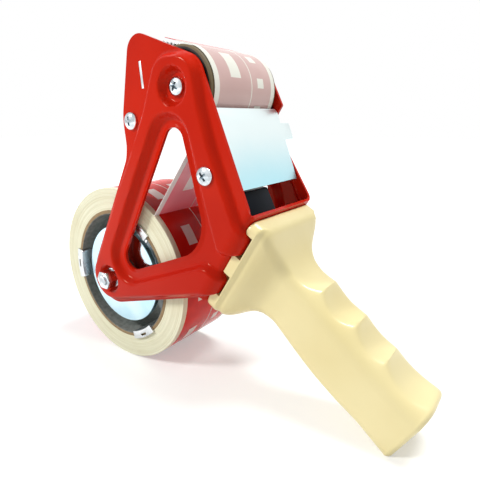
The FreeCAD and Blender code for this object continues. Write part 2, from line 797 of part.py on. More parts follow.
def make_springs():
    pitch = (dim.spring_length - dim.spring_wire) / dim.spring_turns
    coil, path = coil_wire(dim.spring_radius, pitch, dim.spring_turns, dim.spring_wire, 0, 0)
    report_coil("brake_spring", path, dim.spring_wire, pitch)
    start = HUB - ACROSS * (spring_face - dim.spring_wire / 2)
    solid_of("brake_spring", turned(coil, start, TOWARDS_FAR))

    turns = dim.return_turns + (return_end - return_start) / 360
    coil, path = coil_wire(dim.return_radius, dim.return_pitch, turns, dim.return_wire,
                           dim.return_leg, return_start)
    report_coil("return_spring", path, dim.return_wire, dim.return_pitch)
    length = dim.return_pitch * turns
    start = REAR_ROD + ACROSS * ((length - dim.block_side) / 2)
    solid_of("return_spring", turned(coil, start, TOWARDS_NEAR))


# Finger brake plate: swings on the rear rod, its upper edge just behind the roller
lean = radians(dim.brake_lean)
plate_up = V(-math.sin(lean), 0, math.cos(lean))
plate_back = V(math.cos(lean), 0, math.sin(lean))
film_outside = dim.roller_radius + dim.film_gap + dim.film_thickness
top_angle = radians(dim.brake_top_angle)
PLATE_TOP = ROLLER + V(math.cos(top_angle), 0, -math.sin(top_angle)) * (film_outside + dim.brake_roller_gap)
PLATE_FOOT = PLATE_TOP - plate_up * dim.brake_length


tab_height_share = 0.68
ear_corner_share = 0.9


def make_brake_plate():
    body = new_body("brake_plate")
    skin = dim.brake_sheet
    side = inner_face - dim.brake_side_gap
    tab_low = dim.brake_length * tab_height_share - dim.tab_width / 2
    tab_high = tab_low + dim.tab_width
    outline = [
        (V(-side, 0, 0), 0),
        (V(side, 0, 0), 0),
        (V(side, tab_low, 0), 0),
        (V(dim.tab_reach, tab_low, 0), skin),
        (V(dim.tab_reach, tab_high, 0), skin),
        (V(side, tab_high, 0), 0),
        (V(side, dim.brake_length, 0), dim.brake_corner),
        (V(-side, dim.brake_length, 0), dim.brake_corner),
    ]
    square_on = Placement(V(PLATE_FOOT.y, PLATE_FOOT.z, PLATE_FOOT.x), Rotation(V(1, 0, 0), -dim.brake_lean))
    face = draw(body, "plate_outline", rounded_edges(outline), role="YZ_Plane", offset=square_on)
    pad(body, "plate_face", face, "Sizes.brake_sheet", backwards=True)
    ear_foot = PLATE_FOOT + plate_up * skin - plate_back * (skin / 2)
    ear_top = ear_foot + plate_up * dim.ear_height
    ear_corner = dim.ear_radius * ear_corner_share
    ear = [(ear_foot, 0), (ear_top, 0),
           (REAR_ROD + (plate_up - plate_back) * dim.ear_radius, ear_corner),
           (REAR_ROD - (plate_up + plate_back) * dim.ear_radius, ear_corner)]
    half_width = "Sizes.plates_apart / 2 - Sizes.brake_side_gap"
    rod_hole = dim.rod_radius + dim.running_gap
    for side, level in ((True, half_width), (False, "-(" + half_width + ")")):
        sketch = draw(body, f"ear_outline_{int(side)}", rounded_edges(flat(ear)), level)
        pad(body, f"ear_{int(side)}", sketch, "Sizes.brake_sheet", backwards=side)
    holes = draw(body, "ear_hole_circle", circle(REAR_ROD, rod_hole))
    pocket(body, "ear_holes", holes, "Sizes.plates_apart", both_ways=True)
    return body


def make_stop_block():
    """Moulded block on the web's inner face, under the brake plate."""
    body = new_body("stop_block")
    web_high = web_inner_top - web_along * dim.block_drop
    web_low = web_high - web_along * dim.block_height
    back_top = PLATE_FOOT - plate_back * (2 * dim.brake_sheet) - plate_up * dim.block_plate_gap
    front = REAR_ROD.x - dim.return_radius + dim.return_wire / 2 + dim.return_leg_gap
    front_top = V(front, 0, back_top.z)
    front_low = V(front, 0, web_low.z + dim.block_nose)
    corner = dim.block_corner
    outline = [(web_low, 0), (web_high, 0), (back_top, corner), (front_top, corner), (front_low, corner)]
    sketch = draw(body, "block_outline", rounded_edges(flat(outline)))
    pad(body, "block", sketch, "Sizes.block_side")
    place = V(block_screw_y, 0, block_screw_height)
    hole = circle(place, dim.screw_thread_radius + dim.screw_hole_gap)
    pocket(body, "screw_hole", draw(body, "screw_hole_circle", hole, role="YZ_Plane", offset=ONTO_WEB),
           "Sizes.reach", both_ways=True)
    seat = Placement(ONTO_WEB.Base, ONTO_WEB.Rotation)
    seat.Base = seat.Base + seat.Rotation.multVec(V(0, 0, -dim.frame_sheet - dim.block_screw_seat))
    recess = circle(place, dim.screw_head_radius + dim.return_leg_gap)
    pocket(body, "screw_recess", draw(body, "screw_recess_circle", recess, role="YZ_Plane", offset=seat),
           "Sizes.reach")
    return body


def make_block_screw():
    screw = pan_head_screw(dim.block_screw_length, dim.screw_thread_radius,
                           dim.screw_head_radius, dim.screw_head_height)
    seat = WEB_MIDDLE - web_out * (dim.frame_sheet + dim.block_screw_seat)
    seat = seat + web_along * block_screw_height + ACROSS * block_screw_y
    solid_of("block_screw", turned(screw, seat, Rotation(V(0, 0, 1), web_out * -1)))


# Blade and carrier
CARRIER_FOOT = spot(0.366, 0.974)
carrier_along = (TAB_TOP - TAB_FOOT).normalize()
BLADE_TIP = spot(0.474, 1.200)
blade_angle = radians(dim.blade_slope)
blade_along = V(math.cos(blade_angle), 0, math.sin(blade_angle))
blade_side = V(blade_along.z, 0, -blade_along.x)
BLADE_FOOT = BLADE_TIP - blade_along * dim.blade_height
ONTO_BLADE = Rotation(blade_along, ACROSS, blade_side)
blade_hole_share = 0.35
blade_seat_share = 0.7


def strip(points, thickness):
    """A bent strip's section: the given line and the same line moved to its right."""
    offsets = []
    for i, point in enumerate(points):
        runs = []
        if i > 0:
            runs.append((point - points[i - 1]).normalize())
        if i + 1 < len(points):
            runs.append((points[i + 1] - point).normalize())
        sides = [V(run.z, 0, -run.x) for run in runs]
        total = sides[0] if len(sides) == 1 else (sides[0] + sides[1]).normalize()
        offsets.append(point + total * (thickness / total.dot(sides[0])))
    return points + offsets[::-1]


def crossing(start, along, other, other_along):
    """Where a line from start meets another line, both seen from the side."""
    gap = other - start
    turn = along.x * other_along.z - along.z * other_along.x
    return start + along * ((gap.x * other_along.z - gap.z * other_along.x) / turn)


def make_carrier():
    body = new_body("blade_carrier")
    side = V(carrier_along.z, 0, -carrier_along.x) * (dim.carrier_sheet / 2)
    seat_end = BLADE_FOOT + blade_along * (dim.blade_height * blade_seat_share)
    seat_end = seat_end - blade_side * (dim.blade_sheet / 2 + dim.carrier_sheet)
    bend = crossing(CARRIER_FOOT - side, carrier_along, seat_end, blade_along)
    outline = strip([CARRIER_FOOT - side, bend, seat_end], dim.carrier_sheet)
    pad(body, "carrier_wall", draw(body, "carrier_section", sharp(outline)), "Sizes.plates_apart",
        both_ways=True)
    tab = slot_outline(TAB_FOOT, TAB_TOP, dim.carrier_sheet)
    pad(body, "carrier_tabs", draw(body, "carrier_tab_outline", tab), "2 * (" + OUTER + ")", both_ways=True)
    holes = []
    for sign in (-1, 1):
        place = V(dim.blade_height * blade_hole_share, sign * dim.blade_screw_spread, 0)
        holes.append(Part.Circle(place, V(0, 0, 1), dim.blade_screw_radius))
    seat = draw(body, "screw_circles", holes, role="XY_Plane", offset=Placement(BLADE_FOOT, ONTO_BLADE))
    pocket(body, "screw_holes", seat, "4 * Sizes.carrier_sheet", both_ways=True)
    return body


def make_blade():
    """Toothed strip on the carrier's slanted flange, teeth along its upper edge."""
    half = dim.blade_width / 2
    count = int(dim.blade_width // dim.tooth_pitch)
    pitch = dim.blade_width / count
    valley = dim.blade_height - dim.tooth_height
    points = [V(0, -half, 0), V(0, half, 0)]
    for k in range(count):
        right = half - pitch * k
        points += [V(valley, right, 0), V(dim.blade_height, right - pitch / 2, 0)]
    points.append(V(valley, -half, 0))
    strip_face = Part.Face(Part.makePolygon(points + points[:1]))
    blade = strip_face.extrude(V(0, 0, dim.blade_sheet))
    hole_at = dim.blade_height * blade_hole_share
    for side in (-1, 1):
        hole = Part.makeCylinder(dim.blade_screw_radius + dim.screw_hole_gap, dim.blade_sheet,
                                 V(hole_at, side * dim.blade_screw_spread, 0))
        blade = blade.cut(hole)
    blade.Placement = Placement(BLADE_FOOT - blade_side * dim.blade_sheet / 2, ONTO_BLADE)
    solid_of("blade", blade)


def make_blade_screws():
    length = dim.blade_sheet + dim.carrier_sheet + dim.blade_screw_radius
    screw = pan_head_screw(length, dim.blade_screw_radius, dim.blade_screw_head,
                           dim.blade_screw_head_height)
    seat = BLADE_FOOT + blade_along * (dim.blade_height * blade_hole_share) + blade_side * (dim.blade_sheet / 2)
    under = Rotation(V(0, 0, 1), blade_side)
    screws = [turned(screw, seat + ACROSS * (side * dim.blade_screw_spread), under) for side in (-1, 1)]
    solid_of("blade_screws", Part.makeCompound(screws))


# Tape film: from the roll up behind the roller, over it and on to the blade's teeth
def tangent_angle(point, centre, radius, side):
    """Where a line from the point touches the circle, as an angle about the circle's centre."""
    away = point - centre
    return math.atan2(away.z, away.x) + side * math.acos(radius / away.Length)


def on_circle(centre, radius, angle):
    return centre + V(math.cos(angle), 0, math.sin(angle)) * radius


def make_film():
    def line(start, end):
        return Part.LineSegment(V(start.x, start.z, 0), V(end.x, end.z, 0))

    def arc(radius, *angles):
        places = [on_circle(ROLLER, radius, angle) for angle in angles]
        return Part.Arc(*[V(place.x, place.z, 0) for place in places])

    body = new_body("tape_film")
    peel = on_circle(HUB, roll_radius + dim.film_gap, radians(dim.peel_angle))
    tail_end = BLADE_TIP + blade_along * dim.tooth_height - blade_side * dim.film_gap
    inside = dim.roller_radius + dim.film_gap
    outside = inside + dim.film_thickness
    wrap_start = tangent_angle(peel, ROLLER, inside, 1)
    wrap_end = tangent_angle(tail_end, ROLLER, inside, -1)
    wrap_middle = (wrap_start + wrap_end) / 2
    run_side = V(math.cos(wrap_start), 0, math.sin(wrap_start)) * dim.film_thickness
    tail_side = V(math.cos(wrap_end), 0, math.sin(wrap_end)) * dim.film_thickness
    outline = [
        line(peel, on_circle(ROLLER, inside, wrap_start)),
        arc(inside, wrap_start, wrap_middle, wrap_end),
        line(on_circle(ROLLER, inside, wrap_end), tail_end),
        line(tail_end, tail_end + tail_side),
        line(tail_end + tail_side, on_circle(ROLLER, outside, wrap_end)),
        arc(outside, wrap_end, wrap_middle, wrap_start),
        line(on_circle(ROLLER, outside, wrap_start), peel + run_side),
        line(peel + run_side, peel),
    ]
    pad(body, "film", draw(body, "film_section", outline), "Sizes.tape_width", both_ways=True)
    return body


# Handle: moulded grip with four finger hollows, drawn along the web's outward normal
grip_shares = [
    # along the grip, top and foot from its middle line, half width, roundness of the top's edges
    (0.030, 0.64, -0.95, 1.90, 0.25),
    (0.080, 0.64, -0.95, 1.83, 0.30),
    (0.130, 0.55, -0.89, 1.60, 0.50),
    (0.165, 0.41, -0.71, 1.28, 0.75),
    (0.215, 0.290, -0.610, 1.08, 0.75),
    (0.275, 0.245, -0.595, 1.01, 0.60),
    (0.325, 0.260, -0.625, 1.00, 0.75),
    (0.375, 0.335, -0.660, 1.01, 0.86),
    (0.430, 0.255, -0.705, 1.00, 0.75),
    (0.480, 0.200, -0.735, 1.00, 0.64),
    (0.525, 0.210, -0.760, 1.00, 0.75),
    (0.565, 0.250, -0.785, 1.01, 0.86),
    (0.620, 0.165, -0.805, 1.00, 0.75),
    (0.670, 0.125, -0.820, 1.00, 0.64),
    (0.710, 0.140, -0.830, 1.01, 0.75),
    (0.748, 0.175, -0.835, 1.02, 0.86),
    (0.800, 0.095, -0.840, 1.02, 0.75),
    (0.845, 0.060, -0.850, 1.03, 0.64),
    (0.890, 0.045, -0.865, 1.04, 0.50),
    (0.930, 0.055, -0.885, 1.05, 0.45),
    (0.960, 0.075, -0.890, 1.05, 0.45),
]
foot_round_share = 0.36
flange_top_share = 0.430
flange_foot_share = -0.61


def grip_section(top, foot, half_width, top_round_share):
    """The grip's cross section: rounder on the finger side, flatter on the palm side."""
    widest = min(half_width, (top - foot) / 2)
    points = [V(-half_width, foot, 0), V(half_width, foot, 0), V(half_width, top, 0), V(-half_width, top, 0)]
    corners = [foot_round_share, foot_round_share, top_round_share, top_round_share]
    return rounded_edges([(p, widest * share) for p, share in zip(points, corners)])


def make_handle():
    body = new_body("handle")
    side = dim.flange_half_width
    top = web_length * flange_top_share
    foot = web_length * flange_foot_share
    corner = dim.flange_corner
    outline = [(V(-side, top, 0), corner), (V(-side, foot, 0), 2 * corner),
               (V(side, foot, 0), 2 * corner), (V(side, top, 0), corner)]
    pad(body, "flange", draw(body, "flange_outline", rounded_edges(outline), role="YZ_Plane"),
        "Sizes.flange_thickness")

    stations = []
    for number, (along, high, low, wide, roundness) in enumerate(grip_shares):
        geometry = grip_section(dim.grip_depth * high, dim.grip_depth * low,
                                dim.grip_half_width * wide, roundness)
        slant = -dim.butt_slant if number == len(grip_shares) - 1 else 0
        place = Placement(V(0, 0, dim.grip_length * along), Rotation(V(1, 0, 0), slant))
        stations.append(draw(body, f"grip_station_{number}", geometry, role="YZ_Plane", offset=place))
    doc.recompute()
    grip = body.newObject("PartDesign::AdditiveLoft", "grip")
    grip.Profile = stations[0]
    grip.Sections = [(station, [""]) for station in stations[1:]]
    grip.Ruled = False
    doc.recompute()
    body.Tip = grip

    # notches round the ends of the frame's ribs
    deep = side - dim.notch_depth
    notches = [(-1, near_rib_ends[0]), (-1, near_rib_ends[1]), (1, near_rib_ends[0])]
    for number, (sign, end) in enumerate(notches):
        heights = [(p - WEB_MIDDLE).dot(web_along) for p, r in with_radii(end)]
        low, high = min(heights) - dim.notch_gap, max(heights) + dim.notch_gap
        out = side + dim.cut_overrun
        cut = [(V(sign * y, z, 0), 0) for y, z in ((deep, low), (out, low), (out, high), (deep, high))]
        sketch = draw(body, f"notch_outline_{number}", rounded_edges(cut), role="YZ_Plane")
        pocket(body, f"notch_{number}", sketch, "Sizes.notch_reach", backwards=True)

    # the small flat on which the butt stands, level with the bottom of the roll
    def floor_at(along):
        return -(WEB_MIDDLE.z + web_out.z * along) / web_along.z

    far = 2 * dim.grip_length
    under = [V(0, 0, floor_at(0)), V(far, 0, floor_at(far)), V(far, 0, floor_at(0))]
    pocket(body, "butt_flat", draw(body, "floor_line", sharp(under)), "2 * Sizes.flange_half_width", both_ways=True)

    # holes for the bolts and their threaded inserts, and the block's screw
    holes = []
    for side in (-1, 1):
        holes += circle(V(side * dim.handle_bolt_spread, 0, bolt_height), dim.handle_insert_radius)
    pocket(body, "insert_holes", draw(body, "insert_circles", holes, role="YZ_Plane"),
           "Sizes.handle_bolt_length - Sizes.frame_sheet", backwards=True)
    screw = circle(V(block_screw_y, 0, block_screw_height), dim.screw_thread_radius)
    pocket(body, "block_screw_hole", draw(body, "block_screw_circle", screw, role="YZ_Plane"),
           "Sizes.block_screw_length - Sizes.block_screw_seat - Sizes.frame_sheet", backwards=True)
    body.Placement = Placement(WEB_MIDDLE, Rotation(V(0, 1, 0), web_tilt))
    return body


def make_handle_fasteners():
    outward = Rotation(V(0, 0, 1), web_out)
    inward = Rotation(V(0, 0, 1), web_out * -1)
    inserts, bolts = [], []
    for side in (-1, 1):
        axis = WEB_MIDDLE + web_along * bolt_height + ACROSS * (side * dim.handle_bolt_spread)
        tube = Part.makeCylinder(dim.handle_insert_radius, dim.handle_bolt_length - dim.frame_sheet)
        tube = tube.cut(Part.makeCylinder(dim.handle_bolt_radius, dim.handle_bolt_length))
        inserts.append(turned(tube, axis, outward))
        bolt = pan_head_screw(dim.handle_bolt_length, dim.handle_bolt_radius,
                              dim.screw_head_radius, dim.screw_head_height)
        bolts.append(turned(bolt, axis - web_out * dim.frame_sheet, inward))
    solid_of("handle_inserts", Part.makeCompound(inserts))
    solid_of("handle_bolts", Part.makeCompound(bolts))


make_frame()
make_plate_screws()
make_rod("roller_axle", ROLLER)
make_rod("front_rod", FRONT_ROD)
make_rod("rear_rod", REAR_ROD, "Sizes.rib_height")
make_roller()
make_tape_roll()
make_hub()
make_hub_stack()
make_springs()
make_brake_plate()
make_stop_block()
make_block_screw()
make_carrier()
make_blade()
make_blade_screws()
make_film()
make_handle()
make_handle_fasteners()

doc.recompute()
named = [o for o in doc.Objects if o.TypeId in ("PartDesign::Body", "Part::Feature")]
faults = [o.Name for o in doc.Objects if "Invalid" in o.State or "Error" in o.State]
faults += [o.Name for o in named if o.Shape.isNull() or not o.Shape.isValid()]
if faults:
    raise RuntimeError(f"failed objects: {faults}")
box = FreeCAD.BoundBox()
for piece in named:
    box.add(piece.Shape.optimalBoundingBox(False, False))
for piece in named:
    piece.Placement = Placement(V(-box.Center.x, -box.Center.y, -box.ZMin), Rotation()).multiply(piece.Placement)
print(f"whole tool {box.XLength:.2f} x {box.YLength:.2f} x {box.ZLength:.2f} mm, "
      f"roll axis {-box.Center.x:.2f} mm from the middle, lowest point {box.ZMin:.3f}")
os.makedirs("parts", exist_ok=True)
for piece in named:
    piece.Shape.exportStep(f"parts/{piece.Label}.step")
    print(piece.Label, round(piece.Shape.Volume, 1), len(piece.Shape.Solids))
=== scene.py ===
import json
import math
import bmesh
import bpy
import numpy as np
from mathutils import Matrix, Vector
from mathutils.geometry import delaunay_2d_cdt


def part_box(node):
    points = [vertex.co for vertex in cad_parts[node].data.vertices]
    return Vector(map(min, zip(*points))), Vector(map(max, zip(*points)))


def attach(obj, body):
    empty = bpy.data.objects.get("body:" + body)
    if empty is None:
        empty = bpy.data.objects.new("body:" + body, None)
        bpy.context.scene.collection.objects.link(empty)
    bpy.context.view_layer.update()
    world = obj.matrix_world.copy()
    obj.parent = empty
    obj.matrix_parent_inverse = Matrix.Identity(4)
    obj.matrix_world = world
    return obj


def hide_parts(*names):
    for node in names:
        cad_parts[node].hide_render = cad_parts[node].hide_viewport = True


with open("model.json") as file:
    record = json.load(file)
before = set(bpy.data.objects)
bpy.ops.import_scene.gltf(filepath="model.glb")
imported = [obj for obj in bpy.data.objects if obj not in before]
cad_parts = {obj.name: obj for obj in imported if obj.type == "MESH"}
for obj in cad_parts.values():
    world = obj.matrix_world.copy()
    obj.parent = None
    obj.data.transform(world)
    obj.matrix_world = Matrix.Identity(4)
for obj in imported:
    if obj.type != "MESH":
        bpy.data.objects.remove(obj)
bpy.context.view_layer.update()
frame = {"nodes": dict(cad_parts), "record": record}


# Bench: the tool stands on white paper in a bright room, on its roll and its butt.
# Not part of the tool. The camera stands low at the handle's near side.
MM = 0.001
roll_low, roll_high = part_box("tape_roll")
hub_x = (roll_low.x + roll_high.x) / 2 / MM
hub_z = (roll_low.z + roll_high.z) / 2 / MM
mid_y = (roll_low.y + roll_high.y) / 2 / MM


class Flow:
    """A socket in a node tree, so that maths on it reads as plain expressions."""

    def __init__(self, tree, socket=None):
        self.tree = tree
        self.socket = socket

    def node(self, kind, settings, inputs, output=0):
        """Adds a node, its settings first, and gives one of its outputs."""
        made = self.tree.nodes.new(kind)
        for name, value in settings.items():
            setattr(made, name, value)
        for name, value in inputs.items():
            if isinstance(value, Flow):
                self.tree.links.new(value.socket, made.inputs[name])
            else:
                made.inputs[name].default_value = value
        return Flow(self.tree, made.outputs[output] if made.outputs else None)

    def maths(self, operation, *values):
        return self.node("ShaderNodeMath", {"operation": operation}, dict(enumerate(values)))

    def __add__(self, other):
        return self.maths("ADD", self, other)

    def __radd__(self, other):
        return self.maths("ADD", other, self)

    def __sub__(self, other):
        return self.maths("SUBTRACT", self, other)

    def __rsub__(self, other):
        return self.maths("SUBTRACT", other, self)

    def __mul__(self, other):
        return self.maths("MULTIPLY", self, other)

    def __rmul__(self, other):
        return self.maths("MULTIPLY", other, self)

    def between(self, low, high):
        """0 below low, 1 above high, smooth in between."""
        settings = {"interpolation_type": "SMOOTHSTEP"}
        return self.node("ShaderNodeMapRange", settings, {"Value": self, "From Min": low, "From Max": high})

    def blend(self, first, second):
        """The first colour where this is 0, the second where it is 1."""
        settings = {"data_type": "RGBA"}
        return self.node("ShaderNodeMix", settings, {0: self, 6: first, 7: second}, output=2)


def new_material(name):
    material = bpy.data.materials.new(name)
    material.use_nodes = True
    material.node_tree.nodes.clear()
    return material, Flow(material.node_tree)


def shown(start, shader):
    """Ends a material with the given shader."""
    start.node("ShaderNodeOutputMaterial", {}, {"Surface": shader})


def coated(start, **inputs):
    """Ends a material with the Principled shader; spaces in socket names are written as underscores."""
    sockets = {name.replace("_", " "): value for name, value in inputs.items()}
    shown(start, start.node("ShaderNodeBsdfPrincipled", {}, sockets))


def own_place(start):
    """The piece's own coordinates, in metres."""
    return start.node("ShaderNodeTexCoord", {}, {}, output=3)


def bright_rays(start):
    """1 for rays from the camera, a mirror or a clear body, 0 for the rays that light the tool."""
    seen = start.node("ShaderNodeLightPath", {}, {}, output=0)
    mirrored = start.node("ShaderNodeLightPath", {}, {}, output=3)
    through = start.node("ShaderNodeLightPath", {}, {}, output=6)
    return start.maths("MAXIMUM", start.maths("MAXIMUM", seen, mirrored), through)


def speckle(start, scale, detail=3.0, stretch=(1, 1, 1)):
    """Noise fixed to the piece, with about `scale` patches to the metre."""
    stretched = start.node("ShaderNodeMapping", {}, {"Vector": own_place(start), "Scale": stretch})
    return start.node("ShaderNodeTexNoise", {}, {"Vector": stretched, "Scale": scale, "Detail": detail})


def grain(start, height, distance, strength):
    """A bump of the given height map, `distance` metres deep."""
    return start.node("ShaderNodeBump", {}, {"Height": height, "Distance": distance, "Strength": strength})


bench_mesh = bpy.data.meshes.new("bench")
paper_half = 3.0
paper_corners = [(paper_half * x, paper_half * y, 0) for x, y in ((-1, -1), (1, -1), (1, 1), (-1, 1))]
bench_mesh.from_pydata(paper_corners, [], [(0, 1, 2, 3)])
bench = bpy.data.objects.new("bench", bench_mesh)
bpy.context.collection.objects.link(bench)
paper, start = new_material("white_paper")
matt = start.node("ShaderNodeBsdfDiffuse", {}, {"Color": (0.80, 0.80, 0.79, 1)})
distance = start.node("ShaderNodeVectorMath", {"operation": "LENGTH"}, {0: own_place(start)}, output=1)
far_off = distance.between(0.2, 0.9)
glow = start.node("ShaderNodeEmission", {}, {"Color": (1, 1, 1, 1), "Strength": 0.38 + 0.49 * far_off})
lit = start.node("ShaderNodeAddShader", {}, {0: matt, 1: glow})
shown(start, start.node("ShaderNodeMixShader", {}, {0: bright_rays(start), 1: matt, 2: lit}))
bench_mesh.materials.append(paper)

world = bpy.data.worlds.new("bright_room")
world.use_nodes = True
world.node_tree.nodes.clear()
start = Flow(world.node_tree)
soft = start.node("ShaderNodeBackground", {}, {"Color": (1, 1, 1, 1), "Strength": 0.30})
white = start.node("ShaderNodeBackground", {}, {"Color": (1, 1, 1, 1), "Strength": 1.0})
sky = start.node("ShaderNodeMixShader", {}, {0: bright_rays(start), 1: soft, 2: white})
start.node("ShaderNodeOutputWorld", {}, {"Surface": sky})
bpy.context.scene.world = world
bpy.context.scene.view_settings.view_transform = "Standard"


def lamp(name, place, target, size, power):
    """A round soft light that faces the target; its place and size are in metres."""
    light = bpy.data.lights.new(name, "AREA")
    light.shape = "DISK"
    light.size = size
    light.energy = power
    holder = bpy.data.objects.new(name, light)
    holder.location = place
    holder.rotation_euler = (Vector(target) - Vector(place)).to_track_quat("-Z", "Y").to_euler()
    bpy.context.collection.objects.link(holder)


lamp("window_light", (-0.55, -0.80, 0.75), (0.0, 0.0, 0.08), 0.26, 8.6)
lamp("ceiling_light", (0.28, 0.22, 1.15), (0.02, 0.0, 0.05), 0.45, 10.5)

lens = bpy.data.cameras.new("camera")
lens.lens = 31.85
lens.sensor_width = 36
camera = bpy.data.objects.new("camera", lens)
camera_ahead, camera_side, camera_height = 206.6, -179.5, 148.4
looks_down, looks_left = 16.21, 36.23
camera.location = ((hub_x + camera_ahead) * MM, camera_side * MM, camera_height * MM)
camera.rotation_euler = (math.radians(90 - looks_down), 0, math.radians(looks_left))
bpy.context.collection.objects.link(camera)
bpy.context.scene.camera = camera


# Frame: one blank of 1.6 mm sheet steel bent to a U, stoved red paint inside and out.
# Ribs 4 mm high are pressed outwards round the window and run over the bend onto the web;
# round dimples in them take the roller's screws, the far one of the rear rod and the hub's nut.
reach, rise = 100.0, 107.5
sheet, bend, rib_height = 1.6, 3.6, 4.0
web_span, plate_face = 25.9, 29.5
flank = 3.5


def spot(across, up):
    """A place on a plate from the roll's axis, as shares of the frame's reach and rise."""
    return np.array([hub_x + reach * across, hub_z + rise * up])


web_foot, web_top = spot(0.730, 0.025), spot(1.018, 0.469)
web_length = np.linalg.norm(web_top - web_foot)
along = (web_top - web_foot) / web_length
inward = np.array([-along[1], along[0]])
over_bend = math.pi / 2 * bend
far_start = 2 * over_bend + 2 * web_span


def near_flat(p):
    """Where a place on the near plate lies in the flat blank: up the web, and across."""
    return np.array([(p - web_foot) @ along, bend - (p - web_foot) @ inward])


def far_flat(p):
    """The same for a place on the far plate."""
    return np.array([(p - web_foot) @ along, far_start + (p - web_foot) @ inward - bend])


def folded(flat, height):
    """The blank bent to its U; height is measured outwards from its outer face."""
    up, across = flat[:, 0], flat[:, 1]
    near_turn = np.clip(across / bend, 0, math.pi / 2)
    far_turn = np.clip((across - over_bend - 2 * web_span) / bend, 0, math.pi / 2)
    web_y = np.clip(across - over_bend, 0, 2 * web_span) - web_span
    on_near = across < over_bend
    turn = np.where(on_near, math.pi / 2 - near_turn, far_turn)
    side = np.where(on_near, -1.0, 1.0)
    depth = bend - (bend + height) * np.cos(turn)
    y = web_y + side * (bend + height) * np.sin(turn)
    depth += np.maximum(-across, 0) + np.maximum(across - far_start, 0)
    x = web_foot[0] + along[0] * up + inward[0] * depth
    z = web_foot[1] + along[1] * up + inward[1] * depth
    return np.stack([x, y + mid_y, z], 1)


def rounded(corners, step=1.1):
    """Places about a step apart along a closed outline of (corner, radius)."""
    nearly_straight = 1.56
    line = []
    for number, (corner, radius) in enumerate(corners):
        back = corners[number - 1][0] - corner
        ahead = corners[(number + 1) % len(corners)][0] - corner
        back, ahead = back / np.linalg.norm(back), ahead / np.linalg.norm(ahead)
        half = math.acos(max(-1.0, min(1.0, back @ ahead))) / 2
        if radius <= 0 or half > nearly_straight:
            line.append(corner)
            continue
        middle = corner + (back + ahead) / np.linalg.norm(back + ahead) * radius / math.sin(half)
        begin = corner + back * radius / math.tan(half) - middle
        left = np.array([-begin[1], begin[0]])
        if left @ (corner - middle) < 0:
            left = -left
        sweep = math.pi - 2 * half
        count = max(3, round(radius * sweep / step))
        for k in range(count + 1):
            turn = sweep * k / count
            line.append(middle + begin * math.cos(turn) + left * math.sin(turn))
    places = []
    for here, after in zip(line, line[1:] + line[:1]):
        count = max(1, round(np.linalg.norm(after - here) / step))
        places += [here + (after - here) * k / count for k in range(count)]
    return np.array(places)


def depth_inside(places, outline):
    """How far inside a closed outline each place lies, negative where it is outside."""
    nearest = np.full(len(places), 1e9)
    inside = np.zeros(len(places), bool)
    for here, after in zip(outline, np.roll(outline, -1, 0)):
        run = after - here
        share = np.clip(((places - here) @ run) / max(run @ run, 1e-12), 0, 1)
        gap = places - here - share[:, None] * run
        nearest = np.minimum(nearest, np.hypot(gap[:, 0], gap[:, 1]))
        if here[1] != after[1]:
            crosses = (here[1] > places[:, 1]) != (after[1] > places[:, 1])
            at = here[0] + (places[:, 1] - here[1]) / (after[1] - here[1]) * run[0]
            inside ^= crosses & (places[:, 0] < at)
    return np.where(inside, nearest, -nearest)


def swell(value, run):
    """A smooth step from 0 to 1 over the run."""
    share = np.clip(value / run, 0, 1)
    return share * share * (3 - 2 * share)


def flattened(shares, flat):
    """Corners of a plate's outline, given as shares of reach and rise, laid in the flat blank."""
    return [(flat(spot(across, up)), reach * corner) for across, up, corner in shares]


blank = flattened([(-0.360, -0.262, 0.177), (0.198, 0.674, 0.15), (0.208, 0.737, 0.15),
                   (0.194, 0.872, 0.30), (0.283, 1.263, 0.09), (0.725, 1.117, 0.12)], near_flat)
blank += [(np.array([web_length, bend]), 4.0), (np.array([web_length, far_start - bend]), 4.0)]
blank += flattened([(0.798, 0.793, 0.05), (0.775, 0.867, 0.03), (0.820, 0.932, 0.01), (0.725, 1.105, 0.12),
                    (0.280, 1.235, 0.09), (0.194, 0.872, 0.20), (0.220, 0.746, 0.05), (0.660, 0.783, 0.08),
                    (0.750, 0.467, 0.30), (0.665, 0.060, 0.03)], far_flat)
blank += [(np.array([0.0, far_start]), 2.0), (np.array([0.0, 0.0]), 2.0)]
window = rounded(flattened([(0.587, 0.925, 0.061), (0.770, 0.297, 0.20), (0.047, 0.020, 0.072)], near_flat))

# the carrier's tabs come through a thin slot in each plate
slot_low, slot_high = spot(0.363, 1.002), spot(0.349, 1.120)
slot_run = (slot_high - slot_low) / np.linalg.norm(slot_high - slot_low)
slot_half = 0.85
slot_side = np.array([slot_run[1], -slot_run[0]]) * slot_half
slot = [slot_low - slot_side, slot_low + slot_side, slot_high + slot_side, slot_high - slot_side]
near_slot = rounded([(near_flat(p), 0) for p in slot])
far_slot = rounded([(far_flat(p), 0) for p in slot])

# the ribs end on the web, between these heights up it
high_foot, low_foot = (35.0, 46.8), (9.8, 21.8)
end_run, end_round = 3.2, 5.0
near_side, far_side = over_bend + end_run, far_start - over_bend - end_run


def rib_end(heights, across):
    """The two corners of a rib's end on the web."""
    return [(np.array([height, across]), end_round) for height in heights]


